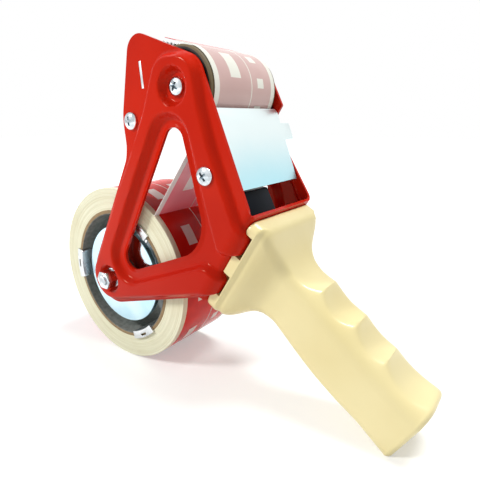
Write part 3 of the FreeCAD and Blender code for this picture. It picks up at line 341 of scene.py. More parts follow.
near_rib = rounded(rib_end(high_foot, near_side) + flattened([
    (0.965, 0.462, 0.10), (0.832, 0.760, 0.50), (0.780, 0.913, 0.30), (0.728, 1.148, 0.125),
    (0.472, 1.148, 0.125), (0.365, 0.904, 0.30), (0.240, 0.695, 0.30), (0.090, 0.467, 0.30),
    (-0.333, -0.236, 0.159)], near_flat) + rib_end(low_foot, near_side) + flattened([
        (0.760, 0.240, 0.10), (-0.073, -0.076, 0.12), (0.592, 1.034, 0.11), (0.726, 0.574, 0.50),
        (0.825, 0.281, 0.05)], near_flat))
far_rib = rounded(rib_end(high_foot[::-1], far_side) + flattened([
    (0.825, 0.281, 0.05), (0.780, 0.480, 0.20), (0.702, 0.640, 0.30), (0.620, 0.900, 0.08),
    (0.430, 0.945, 0.055), (0.472, 1.130, 0.125), (0.728, 1.130, 0.125), (0.765, 0.915, 0.30),
    (0.785, 0.774, 0.30), (0.940, 0.480, 0.10)], far_flat))

# the blank is filled with a net of near-equal triangles, so that the pressed ribs come out smooth
edge = rounded(blank)
holes = [window, near_slot, far_slot]
pitch, row_share, clear = 0.95, 0.866, 0.5
low, high = edge.min(0), edge.max(0)
rows = []
for row in range(int((high[1] - low[1]) / (pitch * row_share)) + 1):
    shift = pitch / 2 * (row % 2)
    ups = np.arange(low[0] + shift, high[0], pitch)
    rows.append(np.stack([ups, np.full(len(ups), low[1] + row * pitch * row_share)], 1))
filling = np.concatenate(rows)
filling = filling[depth_inside(filling, edge) > clear]
for hole in holes:
    filling = filling[depth_inside(filling, hole) < -clear]
loops, links, count = [], [], 0
for loop in [edge] + holes:
    loops += [Vector(p) for p in loop]
    links += [(count + k, count + (k + 1) % len(loop)) for k in range(len(loop))]
    count += len(loop)
cut = delaunay_2d_cdt(loops + [Vector(p) for p in filling], links, [], 0, 1e-5)
flat = np.array([tuple(p) for p in cut[0]])
faces = np.array([f for f in cut[2] if len(f) == 3])
centres = flat[faces].mean(1)
kept = depth_inside(centres, edge) > 0
for hole in holes:
    kept &= depth_inside(centres, hole) < 0
faces = faces[kept]


def away(centre):
    """How far each place of the net lies from a centre in the flat blank."""
    return np.hypot(flat[:, 0] - centre[0], flat[:, 1] - centre[1])


roller, rear_rod, front_rod, hub = spot(0.596, 1.002), spot(0.79, 0.634), spot(0.262, 0.857), spot(0, 0)
rear_boss, boss_flank = 7.8, 3.0
rim_slack = 0.01
height = rib_height * swell(depth_inside(flat, near_rib), flank)
height = np.maximum(height, rib_height * swell(rear_boss - away(near_flat(rear_rod)), boss_flank))
height = np.maximum(height, rib_height * swell(depth_inside(flat, far_rib), flank))
roller_dimple, hub_dimple, rod_dimple, dimple_inset, dimple_run = 7.8, 7.3, 5.2, 1.2, 2.6
for centre, dimple in ((near_flat(roller), roller_dimple), (near_flat(hub), hub_dimple),
                       (far_flat(roller), roller_dimple), (far_flat(rear_rod), rod_dimple)):
    height *= swell(away(centre) - dimple + dimple_inset, dimple_run)
lip_height, lip_run = 0.7, 2.4
from_window = -depth_inside(flat, window)
height += lip_height * (1 - swell(from_window, lip_run)) * (from_window > -rim_slack)

outer = folded(flat, height)
inner = folded(flat, height - sheet)
total = len(flat)
edges = [pair for a, b, c in faces for pair in ((a, b), (b, c), (c, a))]
known = set(edges)
rims = [(after, here, here + total, after + total) for here, after in edges if (after, here) not in known]
all_faces = [tuple(f) for f in faces] + [tuple(f[::-1] + total) for f in faces] + rims


def new_piece(name, points, faces, material):
    """A piece of the tool from points in millimetres, faces turned outwards."""
    mesh = bpy.data.meshes.new(name)
    mesh.from_pydata([tuple(p) for p in np.array(points) * MM], [], [tuple(int(k) for k in f) for f in faces])
    work = bmesh.new()
    work.from_mesh(mesh)
    bmesh.ops.remove_doubles(work, verts=work.verts, dist=1e-6)
    loose = [v for v in work.verts if not v.link_faces]
    bmesh.ops.delete(work, geom=loose, context="VERTS")
    bmesh.ops.recalc_face_normals(work, faces=work.faces)
    work.to_mesh(mesh)
    work.free()
    mesh.materials.append(material)
    piece = bpy.data.objects.new(name, mesh)
    bpy.context.collection.objects.link(piece)
    return piece


def settled(piece):
    """The piece with its modifiers made part of its mesh."""
    bpy.context.view_layer.update()
    evaluated = piece.evaluated_get(bpy.context.evaluated_depsgraph_get())
    mesh = bpy.data.meshes.new_from_object(evaluated)
    piece.modifiers.clear()
    piece.data = mesh
    return piece


def smoothed(piece, angle):
    """Shades the piece smooth, but for edges that turn by more than the angle in degrees."""
    piece.data.shade_smooth()
    piece.data.set_sharp_from_angle(angle=math.radians(angle))
    return piece


def eased(piece, width, segments=2, smooth=40):
    """Rounds the edges over 50 degrees by a width in millimetres and shades the rest smooth."""
    bevel = piece.modifiers.new("edge", "BEVEL")
    bevel.limit_method = "ANGLE"
    bevel.angle_limit = math.radians(50)
    bevel.width = width * MM
    bevel.segments = segments
    return smoothed(settled(piece), smooth)


red_paint, start = new_material("red_paint")
drift = speckle(start, 14.0)
peel_skin = speckle(start, 520.0, 1.5)
dust = speckle(start, 90.0, 4.0)
tone = drift.between(0.35, 0.65).blend((0.50, 0.011, 0.003, 1), (0.60, 0.017, 0.004, 1))
coated(start, Base_Color=tone, Roughness=0.15 + dust * 0.08, Specular_IOR_Level=0.13,
       Specular_Tint=(1, 0.62, 0.42, 1), Normal=grain(start, peel_skin, 0.00005, 0.4))
body_frame = eased(new_piece("painted_frame", np.concatenate([outer, inner]), all_faces, red_paint), 0.4)
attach(body_frame, "frame_body")
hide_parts("frame")


# Rods: three turned steel rods of 8 mm hold the plates apart, tapped at both ends.
# The roller turns on the top one, the finger plate on the rear one. The hub's spacer and the
# hidden screws have the same finish.
carried_by = {node: body for body, nodes in frame["record"]["behaviour"]["bodies"].items() for node in nodes}


def metal(name, dark, light, smooth, rough, scale=60.0, stretch=(1, 1, 1)):
    """Bare or plated metal: clouds of tone, and a fine drawn or rolled grain."""
    material, start = new_material(name)
    clouds = speckle(start, scale)
    lines = speckle(start, 900.0, 2.0, stretch)
    tone = clouds.between(0.3, 0.7).blend(dark, light)
    coated(start, Base_Color=tone, Metallic=1.0, Roughness=smooth + (rough - smooth) * clouds,
           Normal=grain(start, lines, 0.00002, 0.35))
    return material


def dressed(node, material, width=0.0, smooth=35, segments=2):
    """A CAD node as it is, or with a width its edges softened on a merged copy."""
    shape = frame["nodes"][node]
    if not width:
        for place in shape.material_slots:
            place.material = material
        return shape
    mesh = shape.data.copy()
    work = bmesh.new()
    work.from_mesh(mesh)
    bmesh.ops.remove_doubles(work, verts=work.verts, dist=1e-6)
    bmesh.ops.dissolve_limit(work, angle_limit=math.radians(0.5), verts=work.verts, edges=work.edges)
    work.to_mesh(mesh)
    work.free()
    mesh.materials.clear()
    mesh.materials.append(material)
    piece = bpy.data.objects.new(node + "_softened", mesh)
    bpy.context.collection.objects.link(piece)
    eased(piece, width, segments=segments, smooth=smooth)
    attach(piece, carried_by[node])
    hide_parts(node)
    return piece


turned_steel = metal("turned_steel", (0.50, 0.52, 0.54, 1), (0.66, 0.68, 0.70, 1), 0.18, 0.34, 80.0,
                     (1, 0.05, 1))
for node in ("roller_axle", "front_rod", "rear_rod", "hub_spacer", "block_screw", "blade_screws"):
    dressed(node, turned_steel)


# Plate screws: six domed M4 screws with a cross recess, bright zinc, through the plates into
# the rods. One head is modelled and set on the six places, each turned its own way.
bright_zinc = metal("bright_zinc", (0.42, 0.47, 0.50, 1), (0.80, 0.85, 0.88, 1), 0.08, 0.24, 260.0)
head_radius, head_height, brim_height = 4.5, 2.4, 0.75
turns = np.linspace(0, 2 * math.pi, 48, endpoint=False)
profile = [(head_radius - 0.2, 0.0), (head_radius, 0.25), (head_radius, brim_height)]
for share in (0.25, 0.45, 0.62, 0.77, 0.89, 0.97):
    lift = share * math.pi / 2
    dome_height = brim_height + (head_height - brim_height) * math.sin(lift)
    profile.append((head_radius * math.cos(lift), dome_height))


def ring_faces(rows, count, closed=False):
    """Faces between rings of points; a closed body goes on from its last ring to its first."""
    faces = []
    for row in range(rows if closed else rows - 1):
        here, after = row * count, (row + 1) % rows * count
        for k in range(count):
            beside = (k + 1) % count
            faces.append((here + k, here + beside, after + beside, after + k))
    return faces


count = len(turns)
points = [(r * math.cos(t), r * math.sin(t), z) for r, z in profile for t in turns]
faces = ring_faces(len(profile), count)
faces += [tuple(range(count))[::-1], tuple(range((len(profile) - 1) * count, len(profile) * count))]
head = new_piece("screw_head", points, faces, bright_zinc)
cross_width, cross_span, cross_depth, cross_rise = 1.35, 5.4, 2.1, 0.6
foot_x, foot_y = 0.45, 0.6
arms = []
for quarter in range(4):
    turn = math.pi / 2 * quarter
    ahead, left = (math.cos(turn), math.sin(turn)), (-math.sin(turn), math.cos(turn))
    for out, across in ((cross_width / 2, -cross_width / 2), (cross_span / 2, -cross_width / 2),
                        (cross_span / 2, cross_width / 2)):
        arms.append((out * ahead[0] + across * left[0], out * ahead[1] + across * left[1]))
cutter_points = [(x * foot_x, y * foot_y, head_height - cross_depth) for x, y in arms]
cutter_points += [(x, y, head_height + cross_rise) for x, y in arms]
count = len(arms)
cutter_faces = [tuple(range(count))[::-1], tuple(range(count, 2 * count))]
cutter_faces += [(k, (k + 1) % count, (k + 1) % count + count, k + count) for k in range(count)]


def cut_away(piece, cutter):
    """Takes the cutter's shape out of the piece and removes the cutter."""
    boolean = piece.modifiers.new("cut", "BOOLEAN")
    boolean.operation = "DIFFERENCE"
    boolean.solver = "EXACT"
    boolean.object = cutter
    settled(piece)
    bpy.data.objects.remove(cutter)
    return piece


smoothed(cut_away(head, new_piece("cross_cutter", cutter_points, cutter_faces, bright_zinc)), 38)

near_face, far_face = mid_y - plate_face, mid_y + plate_face
seats = [(roller, near_face, -1), (rear_rod, near_face - rib_height, -1), (front_rod, near_face, -1),
         (roller, far_face, 1), (rear_rod, far_face, 1), (front_rod, far_face, 1)]
seat_mesh = bpy.data.meshes.new("screw_seats")
seat_mesh.from_pydata([(p[0] * MM, y * MM, p[1] * MM) for p, y, side in seats], [], [])
facing = seat_mesh.attributes.new("facing", "FLOAT_VECTOR", "POINT")
for number, (p, y, side) in enumerate(seats):
    facing.data[number].vector = (0, side, 0)
plate_screws = bpy.data.objects.new("plate_screw_heads", seat_mesh)
bpy.context.collection.objects.link(plate_screws)

tree = bpy.data.node_groups.new("screws_on_seats", "GeometryNodeTree")
tree.interface.new_socket("Seats", in_out="INPUT", socket_type="NodeSocketGeometry")
head_socket = tree.interface.new_socket("Head", in_out="INPUT", socket_type="NodeSocketObject")
size_socket = tree.interface.new_socket("Head Size", in_out="INPUT", socket_type="NodeSocketFloat")
seed_socket = tree.interface.new_socket("Driving Seed", in_out="INPUT", socket_type="NodeSocketInt")
metal_socket = tree.interface.new_socket("Metal", in_out="INPUT", socket_type="NodeSocketMaterial")
tree.interface.new_socket("Screws", in_out="OUTPUT", socket_type="NodeSocketGeometry")
flow = Flow(tree)
given = flow.node("NodeGroupInput", {}, {})


def given_socket(name):
    """What the modifier gives the group under this name."""
    return Flow(tree, given.socket.node.outputs[name])


shape = flow.node("GeometryNodeObjectInfo", {}, {"Object": given_socket("Head")}, output=4)
side = flow.node("GeometryNodeInputNamedAttribute", {"data_type": "FLOAT_VECTOR"}, {"Name": "facing"})
stand = flow.node("FunctionNodeAlignRotationToVector", {"axis": "Z"}, {"Vector": side})
driven = flow.node("FunctionNodeRandomValue", {"data_type": "FLOAT"},
                   {2: 0.0, 3: 1.5, "Seed": given_socket("Driving Seed")}, output=1)
spun = flow.node("FunctionNodeAxisAngleToRotation", {}, {"Axis": (0, 0, 1), "Angle": driven})
turned = flow.node("FunctionNodeRotateRotation", {"rotation_space": "LOCAL"},
                   {"Rotation": stand, "Rotate By": spun})
size = flow.node("ShaderNodeCombineXYZ", {}, {axis: given_socket("Head Size") for axis in "XYZ"})
placed = flow.node("GeometryNodeInstanceOnPoints", {}, {"Points": given_socket("Seats"), "Instance": shape,
                                                        "Rotation": turned, "Scale": size})
real = flow.node("GeometryNodeRealizeInstances", {}, {"Geometry": placed})
finished = flow.node("GeometryNodeSetMaterial", {}, {"Geometry": real, "Material": given_socket("Metal")})
flow.node("NodeGroupOutput", {}, {"Screws": finished})
modifier = plate_screws.modifiers.new("screws", "NODES")
modifier.node_group = tree
modifier[head_socket.identifier] = head
modifier[size_socket.identifier] = 1.0
modifier[seed_socket.identifier] = 7
modifier[metal_socket.identifier] = bright_zinc
settled(plate_screws)
bpy.data.objects.remove(head)
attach(plate_screws, "frame_body")
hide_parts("plate_screws")


# Pressing roller: tan rubber sleeve on a hard black tube with two black end bushes.
# The rubber is ground round and matt; on its cut ends painted shade goes black up to a thin tan rim.
def plain(name, dark, light, rough, depth, scale=300.0, **more):
    """Moulded or cut material with an even skin: two close tones and a fine texture."""
    material, start = new_material(name)
    clouds = speckle(start, 35.0)
    skin = speckle(start, scale, 4.0)
    coated(start, Base_Color=clouds.between(0.3, 0.7).blend(dark, light), Roughness=rough + 0.12 * skin,
           Normal=grain(start, skin, depth, 0.6), **more)
    return material


def about_axis(start, centre):
    """X and Z from an axis along Y, whose place is in millimetres, and the distance from it."""
    place = own_place(start)
    x = start.node("ShaderNodeSeparateXYZ", {}, {"Vector": place}, output=0) - float(centre[0]) * MM
    z = start.node("ShaderNodeSeparateXYZ", {}, {"Vector": place}, output=2) - float(centre[1]) * MM
    return x, z, start.maths("SQRT", x * x + z * z)


roller_radius, tan_rim = 18.6, 1.25
tan_rubber, start = new_material("tan_rubber")
radius = about_axis(start, roller)[2]
skin = speckle(start, 300.0, 4.0)
tone = speckle(start, 35.0).between(0.3, 0.7).blend((0.095, 0.070, 0.028, 1), (0.15, 0.11, 0.048, 1))
# painted shade: the sleeve's cut end is black inside the tan rim, standing in for the shade in the roller's
# end
outside_painted_shade = radius.between((roller_radius - tan_rim) * MM, (roller_radius - tan_rim + 0.25) * MM)
tone = outside_painted_shade.blend((0.004, 0.004, 0.004, 1), tone)
coated(start, Base_Color=tone, Roughness=0.62 + 0.12 * skin, Normal=grain(start, skin, 0.00006, 0.6))
# painted reflection: the faint blue in this black stands in for a bluish sheen
black_plastic = plain("black_plastic", (0.003, 0.004, 0.006, 1), (0.007, 0.010, 0.016, 1), 0.24, 0.00004,
                      240.0, Specular_IOR_Level=0.05)
dressed("roller_sleeve", tan_rubber, 0.5)
dressed("roller_core", black_plastic)
dressed("roller_bush_near", black_plastic, 0.3)
dressed("roller_bush_far", black_plastic, 0.3)


# Hub: a dished zinc-plated disc over a tube with a nylon bearing, and three bent fingers
# whose lips hold the core. The nut on the bolt's end squeezes the fibre washers as a brake.
mirror_zinc = metal("mirror_zinc", (0.42, 0.68, 0.82, 1), (0.68, 0.88, 0.94, 1), 0.07, 0.17, 30.0)
pressed_zinc = metal("pressed_zinc", (0.55, 0.58, 0.60, 1), (0.78, 0.81, 0.83, 1), 0.20, 0.38, 90.0)
spring_wire = metal("spring_wire", (0.36, 0.36, 0.37, 1), (0.50, 0.50, 0.52, 1), 0.22, 0.36, 150.0)
nylon = plain("nylon", (0.62, 0.60, 0.53, 1), (0.72, 0.70, 0.63, 1), 0.35, 0.00003)
fibre = plain("fibre", (0.16, 0.04, 0.02, 1), (0.24, 0.07, 0.04, 1), 0.70, 0.00005)
dressed("hub_disc", mirror_zinc, 0.45, smooth=30, segments=3)
dressed("hub_spider", pressed_zinc, 0.25)
dressed("hub_tube", pressed_zinc)
dressed("hub_bush", nylon)
dressed("hub_bolt", bright_zinc, 0.2)
dressed("brake_nut", bright_zinc, 0.3)
dressed("hub_washers", bright_zinc, 0.2)
dressed("friction_washers", fibre)
dressed("brake_spring", spring_wire)


# Tape core: a wound cardboard tube, brown at its cut edge and grey in its bore.
# It is a push fit on the hub's fingers and carries the roll.
bore_edge = 38.65
cardboard, start = new_material("cardboard")
radius = about_axis(start, hub)[2]
plies = start.maths("SINE", radius * 12000.0) * 0.5 + 0.5
fibres = speckle(start, 350.0, 4.0)
layered = (plies * 0.5 + fibres * 0.5).between(0.2, 0.8)
edge_tone = layered.blend((0.20, 0.125, 0.055, 1), (0.40, 0.28, 0.15, 1))
bore_tone = fibres.between(0.3, 0.7).blend((0.13, 0.14, 0.125, 1), (0.21, 0.22, 0.20, 1))
in_bore = radius.between(bore_edge * MM, (bore_edge - 0.2) * MM)
coated(start, Base_Color=in_bore.blend(edge_tone, bore_tone), Roughness=0.72 + 0.15 * fibres,
       Normal=grain(start, fibres, 0.00008, 0.7))
dressed("tape_core", cardboard, 0.2)


# Tape roll: film with a hot-melt adhesive, wound tight. The edge shows as pale rings, a little
# uneven; the tread is glossy red print with bare cream margins, a thin line and plain pale bars.
core_radius, roll_radius, half_width, margin = 40.6, 54.0, 25.0, 3.4
sides = 288
layers = np.concatenate([[core_radius], np.linspace(core_radius + 0.4, roll_radius - 0.55, 40)])
uneven = 0.10 + 0.10 * np.sin(layers * 2.3) * np.sin(layers * 0.71 + 1.0)
profile = [(r, -half_width + u) for r, u in zip(layers, uneven)]
profile += [(roll_radius - 0.15, -half_width + 0.12), (roll_radius, -half_width + 0.35)]
profile += [(roll_radius, y) for y in np.linspace(-half_width + 3, half_width - 3, 9)]
profile += [(r, -y) for r, y in reversed(profile[:len(layers) + 2])]
turns = np.linspace(0, 2 * math.pi, sides, endpoint=False)
points = [(hub_x + r * math.cos(t), mid_y + y, hub_z + r * math.sin(t)) for r, y in profile for t in turns]
faces = ring_faces(len(profile), sides, closed=True)


def stripe(value, low, high, blur):
    """1 where the value is between low and high, 0 outside, with soft edges."""
    return value.between(low, low + blur) * value.between(high, high - blur)


def bare_margin(start, across):
    """1 on the unprinted strip along each edge of the tape; across is in millimetres."""
    inner = half_width - margin
    return start.maths("ABSOLUTE", across).between(inner - 0.1, inner + 0.1)


winding, start = new_material("tape_winding")
x, z, radius = about_axis(start, hub)
y = start.node("ShaderNodeSeparateXYZ", {}, {"Vector": own_place(start)}, output=1) - mid_y * MM
turn = start.maths("ARCTAN2", z, x)
wind = start.node("ShaderNodeCombineXYZ", {}, {"X": radius * 2200.0, "Y": turn * 0.6, "Z": y * 100.0})
rings = start.node("ShaderNodeTexNoise", {}, {"Vector": wind, "Scale": 1.0, "Detail": 3.0})
smudge = speckle(start, 40.0)
edge_tone = rings.between(0.25, 0.75).blend((0.74, 0.71, 0.50, 1), (0.90, 0.89, 0.69, 1))
edge_tone = (0.35 * smudge.between(0.45, 0.75)).blend(edge_tone, (0.68, 0.62, 0.40, 1))
sheen = speckle(start, 60.0, 2.0)
shade = sheen.between(0.35, 0.65)
red_print = shade.blend((0.56, 0.010, 0.006, 1), (0.72, 0.018, 0.010, 1))
pale_print = shade.blend((0.74, 0.60, 0.56, 1), (0.84, 0.72, 0.68, 1))
bare_film = shade.blend((0.74, 0.62, 0.46, 1), (0.82, 0.72, 0.56, 1))
across = y * (1 / MM)
bars_on_roll = 10.0
bars_round = turn * (1 / (2 * math.pi)) * bars_on_roll
step = start.maths("FRACT", bars_round + 20.35)
bar = stripe(step, 0.10, 0.46, 0.005) * stripe(across, -12.6, -5.4, 0.2)
line = stripe(across, 2.6, 3.3, 0.1)
step = start.maths("FRACT", bars_round * 2.0 + 20.1)
ticks = stripe(step, 0.20, 0.52, 0.01) * stripe(across, 8.0, 13.0, 0.1)
printed = start.maths("MAXIMUM", start.maths("MAXIMUM", bar, line), ticks)
tread = bare_margin(start, across).blend(printed.blend(red_print, pale_print), bare_film)
on_tread = radius.between((roll_radius - 0.2) * MM, (roll_radius - 0.12) * MM)
roughness = on_tread * (0.12 + 0.10 * sheen) + (1 - on_tread) * 0.55
coated(start, Base_Color=on_tread.blend(edge_tone, tread), Roughness=roughness, Specular_IOR_Level=0.10,
       Normal=grain(start, rings * (1 - on_tread) + sheen * on_tread, 0.00012, 0.5))
roll = smoothed(new_piece("wound_tape", points, faces, winding), 50)
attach(roll, "hub_body")
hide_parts("tape_roll")


# Strand: the tape drawn off the roll, up behind the roller with its adhesive side out, over
# it and down to the blade. Through the adhesive the red print shows as a faded pink.
# On the run up to the roller the adhesive side is brightened as painted light shining through the film.
film, gap, tooth_depth, overhang = 0.25, 0.3, 1.0, 1.6
peel_turn = math.radians(51.0)
peel = hub + (roll_radius + gap) * np.array([math.cos(peel_turn), math.sin(peel_turn)])
blade_slope = math.radians(37.0)
blade_along = np.array([math.cos(blade_slope), math.sin(blade_slope)])
blade_side = np.array([blade_along[1], -blade_along[0]])
blade_tip = spot(0.474, 1.200)
tail = blade_tip + blade_along * overhang - blade_side * gap
wrap_radius = roller_radius + gap
rising_rows, wrapped_rows, last_rows = 30, 72, 12
painted_backlight_run, cut_band = 22.0, 7.0
bar_pitch, tick_pitch = 33.9, 13.6


def touch(place, side):
    """The angle about the roller at which a line from the place touches the wrapped film."""
    run = place - roller
    return math.atan2(run[1], run[0]) + side * math.acos(wrap_radius / np.linalg.norm(run))


wrap_start, wrap_end = touch(peel, 1), touch(tail, -1)
path, normals = [], []


def straight(begin, end, normal, count):
    """Adds a flat stretch to the path, without its end."""
    for share in np.linspace(0, 1, count, endpoint=False):
        path.append(begin + (end - begin) * share)
        normals.append(normal)


def facing_out(turn):
    return np.array([math.cos(turn), math.sin(turn)])


straight(peel, roller + wrap_radius * facing_out(wrap_start), facing_out(wrap_start), rising_rows)
for turn in np.linspace(wrap_start, wrap_end, wrapped_rows, endpoint=False):
    path.append(roller + wrap_radius * facing_out(turn))
    normals.append(facing_out(turn))
straight(roller + wrap_radius * facing_out(wrap_end), tail, facing_out(wrap_end), last_rows)
path.append(tail)
normals.append(facing_out(wrap_end))
path, normals = np.array(path), np.array(normals)
lengths = np.concatenate([[0], np.cumsum(np.linalg.norm(np.diff(path, axis=0), axis=1))])
teeth = 40
columns = np.linspace(-half_width, half_width, 2 * teeth + 1)
backward = (path[-2] - path[-1]) / np.linalg.norm(path[-2] - path[-1])
points, spread = [], []
for level in (0.0, film):
    for number, (p, n) in enumerate(zip(path, normals)):
        for column, y in enumerate(columns):
            notch = tooth_depth if number == len(path) - 1 and column % 2 else 0.0
            q = p + n * level + backward * notch
            points.append((q[0], mid_y + y, q[1]))
            spread.append((lengths[number] * MM, y * MM))
wide, long = len(columns), len(path)
one = wide * long
faces = []
for row in range(long - 1):
    for column in range(wide - 1):
        a = row * wide + column
        faces.append((a, a + 1, a + wide + 1, a + wide))
        faces.append((a + one, a + one + wide, a + one + wide + 1, a + one + 1))
for row in range(long - 1):
    for a in (row * wide, row * wide + wide - 1):
        faces.append((a, a + wide, a + wide + one, a + one))
for column in range(wide - 1):
    for a in (column, one - wide + column):
        faces.append((a, a + 1, a + 1 + one, a + one))


def film_side(name, reds, faded, bares):
    """One side of the film; each pair is its tone on the run up to the roller and on the roller, the first
    raised on the adhesive side as painted light shining through the film.
    """
    material, start = new_material(name)
    flat_place = start.node("ShaderNodeUVMap", {"uv_map": "strand"}, {})
    drawn = start.node("ShaderNodeSeparateXYZ", {}, {"Vector": flat_place}, output=0) * (1 / MM)
    across = start.node("ShaderNodeSeparateXYZ", {}, {"Vector": flat_place}, output=1) * (1 / MM)
    haze = speckle(start, 45.0)
    # painted light: this mask ends the brightened run up, where light shines through the film, at the roller
    past_painted_backlight = drawn.between(float(lengths[rising_rows - 1]) - painted_backlight_run, float(lengths[rising_rows + 1]))
    print_tone = (0.5 * haze.between(0.3, 0.7)).blend(past_painted_backlight.blend(*reds), past_painted_backlight.blend(*faded))
    step = start.maths("FRACT", drawn * (1 / bar_pitch) + 0.62)
    bar = stripe(step, 0.10, 0.52, 0.01) * stripe(across, -12.6, -4.4, 0.2)
    line = stripe(across, 3.6, 4.3, 0.1)
    step = start.maths("FRACT", drawn * (1 / tick_pitch) + 0.30)
    ticks = stripe(step, 0.20, 0.56, 0.01) * stripe(across, 9.0, 14.6, 0.1)
    printed = start.maths("MAXIMUM", start.maths("MAXIMUM", bar, line), ticks)
    bare = start.maths("MAXIMUM", printed, bare_margin(start, across))
    tone = bare.blend(print_tone, past_painted_backlight.blend(*bares))
    cut_start = float(lengths[-1]) - cut_band
    at_cut = drawn.between(cut_start - 0.2, cut_start + 0.2)
    tone = at_cut.blend(tone, (0.72, 0.012, 0.020, 1))
    coated(start, Base_Color=tone, Roughness=0.16 + 0.14 * haze, Normal=grain(start, haze, 0.00015, 0.4))
    return material


# painted light: on the run up the adhesive side's tones are raised to full brightness, as light shining
# through the film
adhesive_side = film_side("adhesive_side", ((1.0, 0.30, 0.36, 1), (0.64, 0.42, 0.39, 1)),
                          ((1.0, 0.22, 0.28, 1), (0.73, 0.52, 0.48, 1)),
                          ((0.96, 0.90, 0.87, 1), (0.88, 0.88, 0.78, 1)))
print_side = film_side("print_side", [(0.60, 0.016, 0.014, 1)] * 2, [(0.50, 0.010, 0.010, 1)] * 2,
                       [(0.84, 0.74, 0.66, 1)] * 2)
strand = new_piece("drawn_strand", points, faces, adhesive_side)
strand.data.materials.append(print_side)
sheet_map = strand.data.uv_layers.new(name="strand")
for polygon in strand.data.polygons:
    polygon.material_index = 1 if all(k < one for k in polygon.vertices) else 0
    for corner in polygon.loop_indices:
        sheet_map.data[corner].uv = spread[strand.data.loops[corner].vertex_index]
smoothed(strand, 50)
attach(strand, "frame_body")
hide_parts("tape_film")


# Stop block: black moulded block screwed to the web's inside, under the finger plate, with the
# return spring beside it. Its skin is glossy from the mould.
dressed("stop_block", black_plastic, 0.7, segments=3)
dressed("return_spring", spring_wire)


# Finger plate: pressed from 1.2 mm zinc-plated sheet, ears on the rear rod and a tab past the
# far plate; pressed with a finger it brakes the tape on the roller.
plated, start = new_material("plated_sheet")
clouds = speckle(start, 26.0, 4.0)
rolled = speckle(start, 700.0, 2.0, (0.1, 1, 0.1))
up = start.node("ShaderNodeSeparateXYZ", {}, {"Vector": own_place(start)}, output=2)
# painted light and reflection: the plate goes from cyan at its foot to near white at its top
painted_light_by_height = (up + clouds * 0.012).between(0.118, 0.150)
tone = painted_light_by_height.blend((0.48, 0.80, 0.88, 1), (0.84, 0.94, 0.94, 1))
coated(start, Base_Color=tone, Metallic=1.0, Roughness=0.24 + 0.16 * clouds,
       Normal=grain(start, rolled, 0.00003, 0.4))
dressed("brake_plate", plated, 0.3)


# Blade and carrier: a toothed strip of bare spring steel screwed to a zinc-plated strip whose
# tabs pass through the slots of both plates.
toothed_steel = metal("toothed_steel", (0.46, 0.47, 0.48, 1), (0.64, 0.65, 0.66, 1), 0.16, 0.30, 120.0,
                      (1, 0.1, 1))
dressed("blade_carrier", pressed_zinc, 0.2)
dressed("blade", toothed_steel, 0.1)


# Handle: moulded in one piece of cream plastic, a flange against the web that is notched round
# the ribs' ends, a drawn-in neck, four finger hollows cut straight across, and a slanted butt.
grip_share = 0.53
grip_start = web_foot + (web_top - web_foot) * grip_share
outward = -inward
# out along the grip; top, foot, half width; radius of the top's and the foot's corners
stations = np.array([
    (0.0, 24.0, -34.0, 28.5, 4.5, 9.0),
    (5.8, 24.0, -34.0, 28.5, 4.5, 9.0),
    (7.0, 24.0, -34.2, 26.7, 5.0, 9.0),
    (9.5, 23.6, -34.7, 25.9, 6.0, 9.0),
    (12.0, 21.9, -34.0, 24.4, 7.5, 9.0),
    (14.5, 19.4, -31.6, 22.0, 9.0, 8.5),
    (17.0, 17.2, -28.0, 19.3, 10.5, 8.0),
    (20.0, 15.6, -24.4, 17.0, 12.0, 7.0),
    (24.0, 14.6, -22.2, 15.3, 13.4, 6.0),
    (31.0, 13.4, -21.5, 14.3, 13.6, 5.4),
    (36.0, 12.6, -22.6, 14.2, 13.6, 5.2),
    (42.0, 11.9, -23.9, 14.2, 13.6, 5.1),
    (48.0, 11.1, -25.3, 14.2, 13.6, 5.1),
    (55.0, 10.1, -26.8, 14.2, 13.6, 5.1),
    (63.0, 9.0, -28.2, 14.3, 13.6, 5.1),
    (70.0, 8.0, -29.0, 14.2, 13.6, 5.1),
    (77.0, 7.1, -29.6, 14.3, 13.6, 5.2),
    (84.0, 6.3, -29.7, 14.4, 13.6, 5.3),
    (92.0, 5.0, -30.0, 14.6, 13.0, 5.5),
    (100.0, 3.8, -31.2, 14.8, 12.0, 5.6),
    (110.0, 3.2, -32.6, 15.0, 11.0, 5.8),
])
# each finger hollow: its middle out along the grip, its lowest height and its radius
scoops = [(31.3, 7.4, 15.0), (53.4, 5.3, 15.0), (75.3, 2.8, 15.5), (96.5, 0.2, 24.0)]
butt, butt_round, butt_slant, slant_run = stations[-1, 0], 2.6, 0.035, 30.0
# between the stations the sizes run straight; past the flange they are then blurred
spacing, blur_run, near_rows = 0.8, 1.5, 6
flange_end, flange_run = 8.5, 3.0
outs = np.concatenate([[0.0, 0.25, 0.7], np.arange(1.5, butt - butt_round, spacing)])
table = np.stack([np.interp(outs, stations[:, 0], stations[:, k]) for k in range(1, 6)], 1)
neighbours = np.arange(-near_rows, near_rows + 1)
weights = np.exp(-(neighbours * spacing / blur_run) ** 2 / 2)
weights /= weights.sum()
padded = np.pad(table, ((near_rows, near_rows), (0, 0)), mode="edge")
blurred = np.stack([np.convolve(column, weights, mode="valid") for column in padded.T], 1)
past_flange = swell(outs - flange_end, flange_run)[:, None]
table = table * (1 - past_flange) + blurred * past_flange
ends = [(butt - butt_round * (1 - math.sin(turn)), butt_round * (1 - math.cos(turn)))
        for turn in np.linspace(0, 1.5, 7)]
flange_round = [0.9, 0.35, 0.08] + [0.0] * (len(outs) - 3)
rings = list(zip(outs, table, flange_round))
rings += [(out, stations[-1, 1:], draw_in) for out, draw_in in ends]


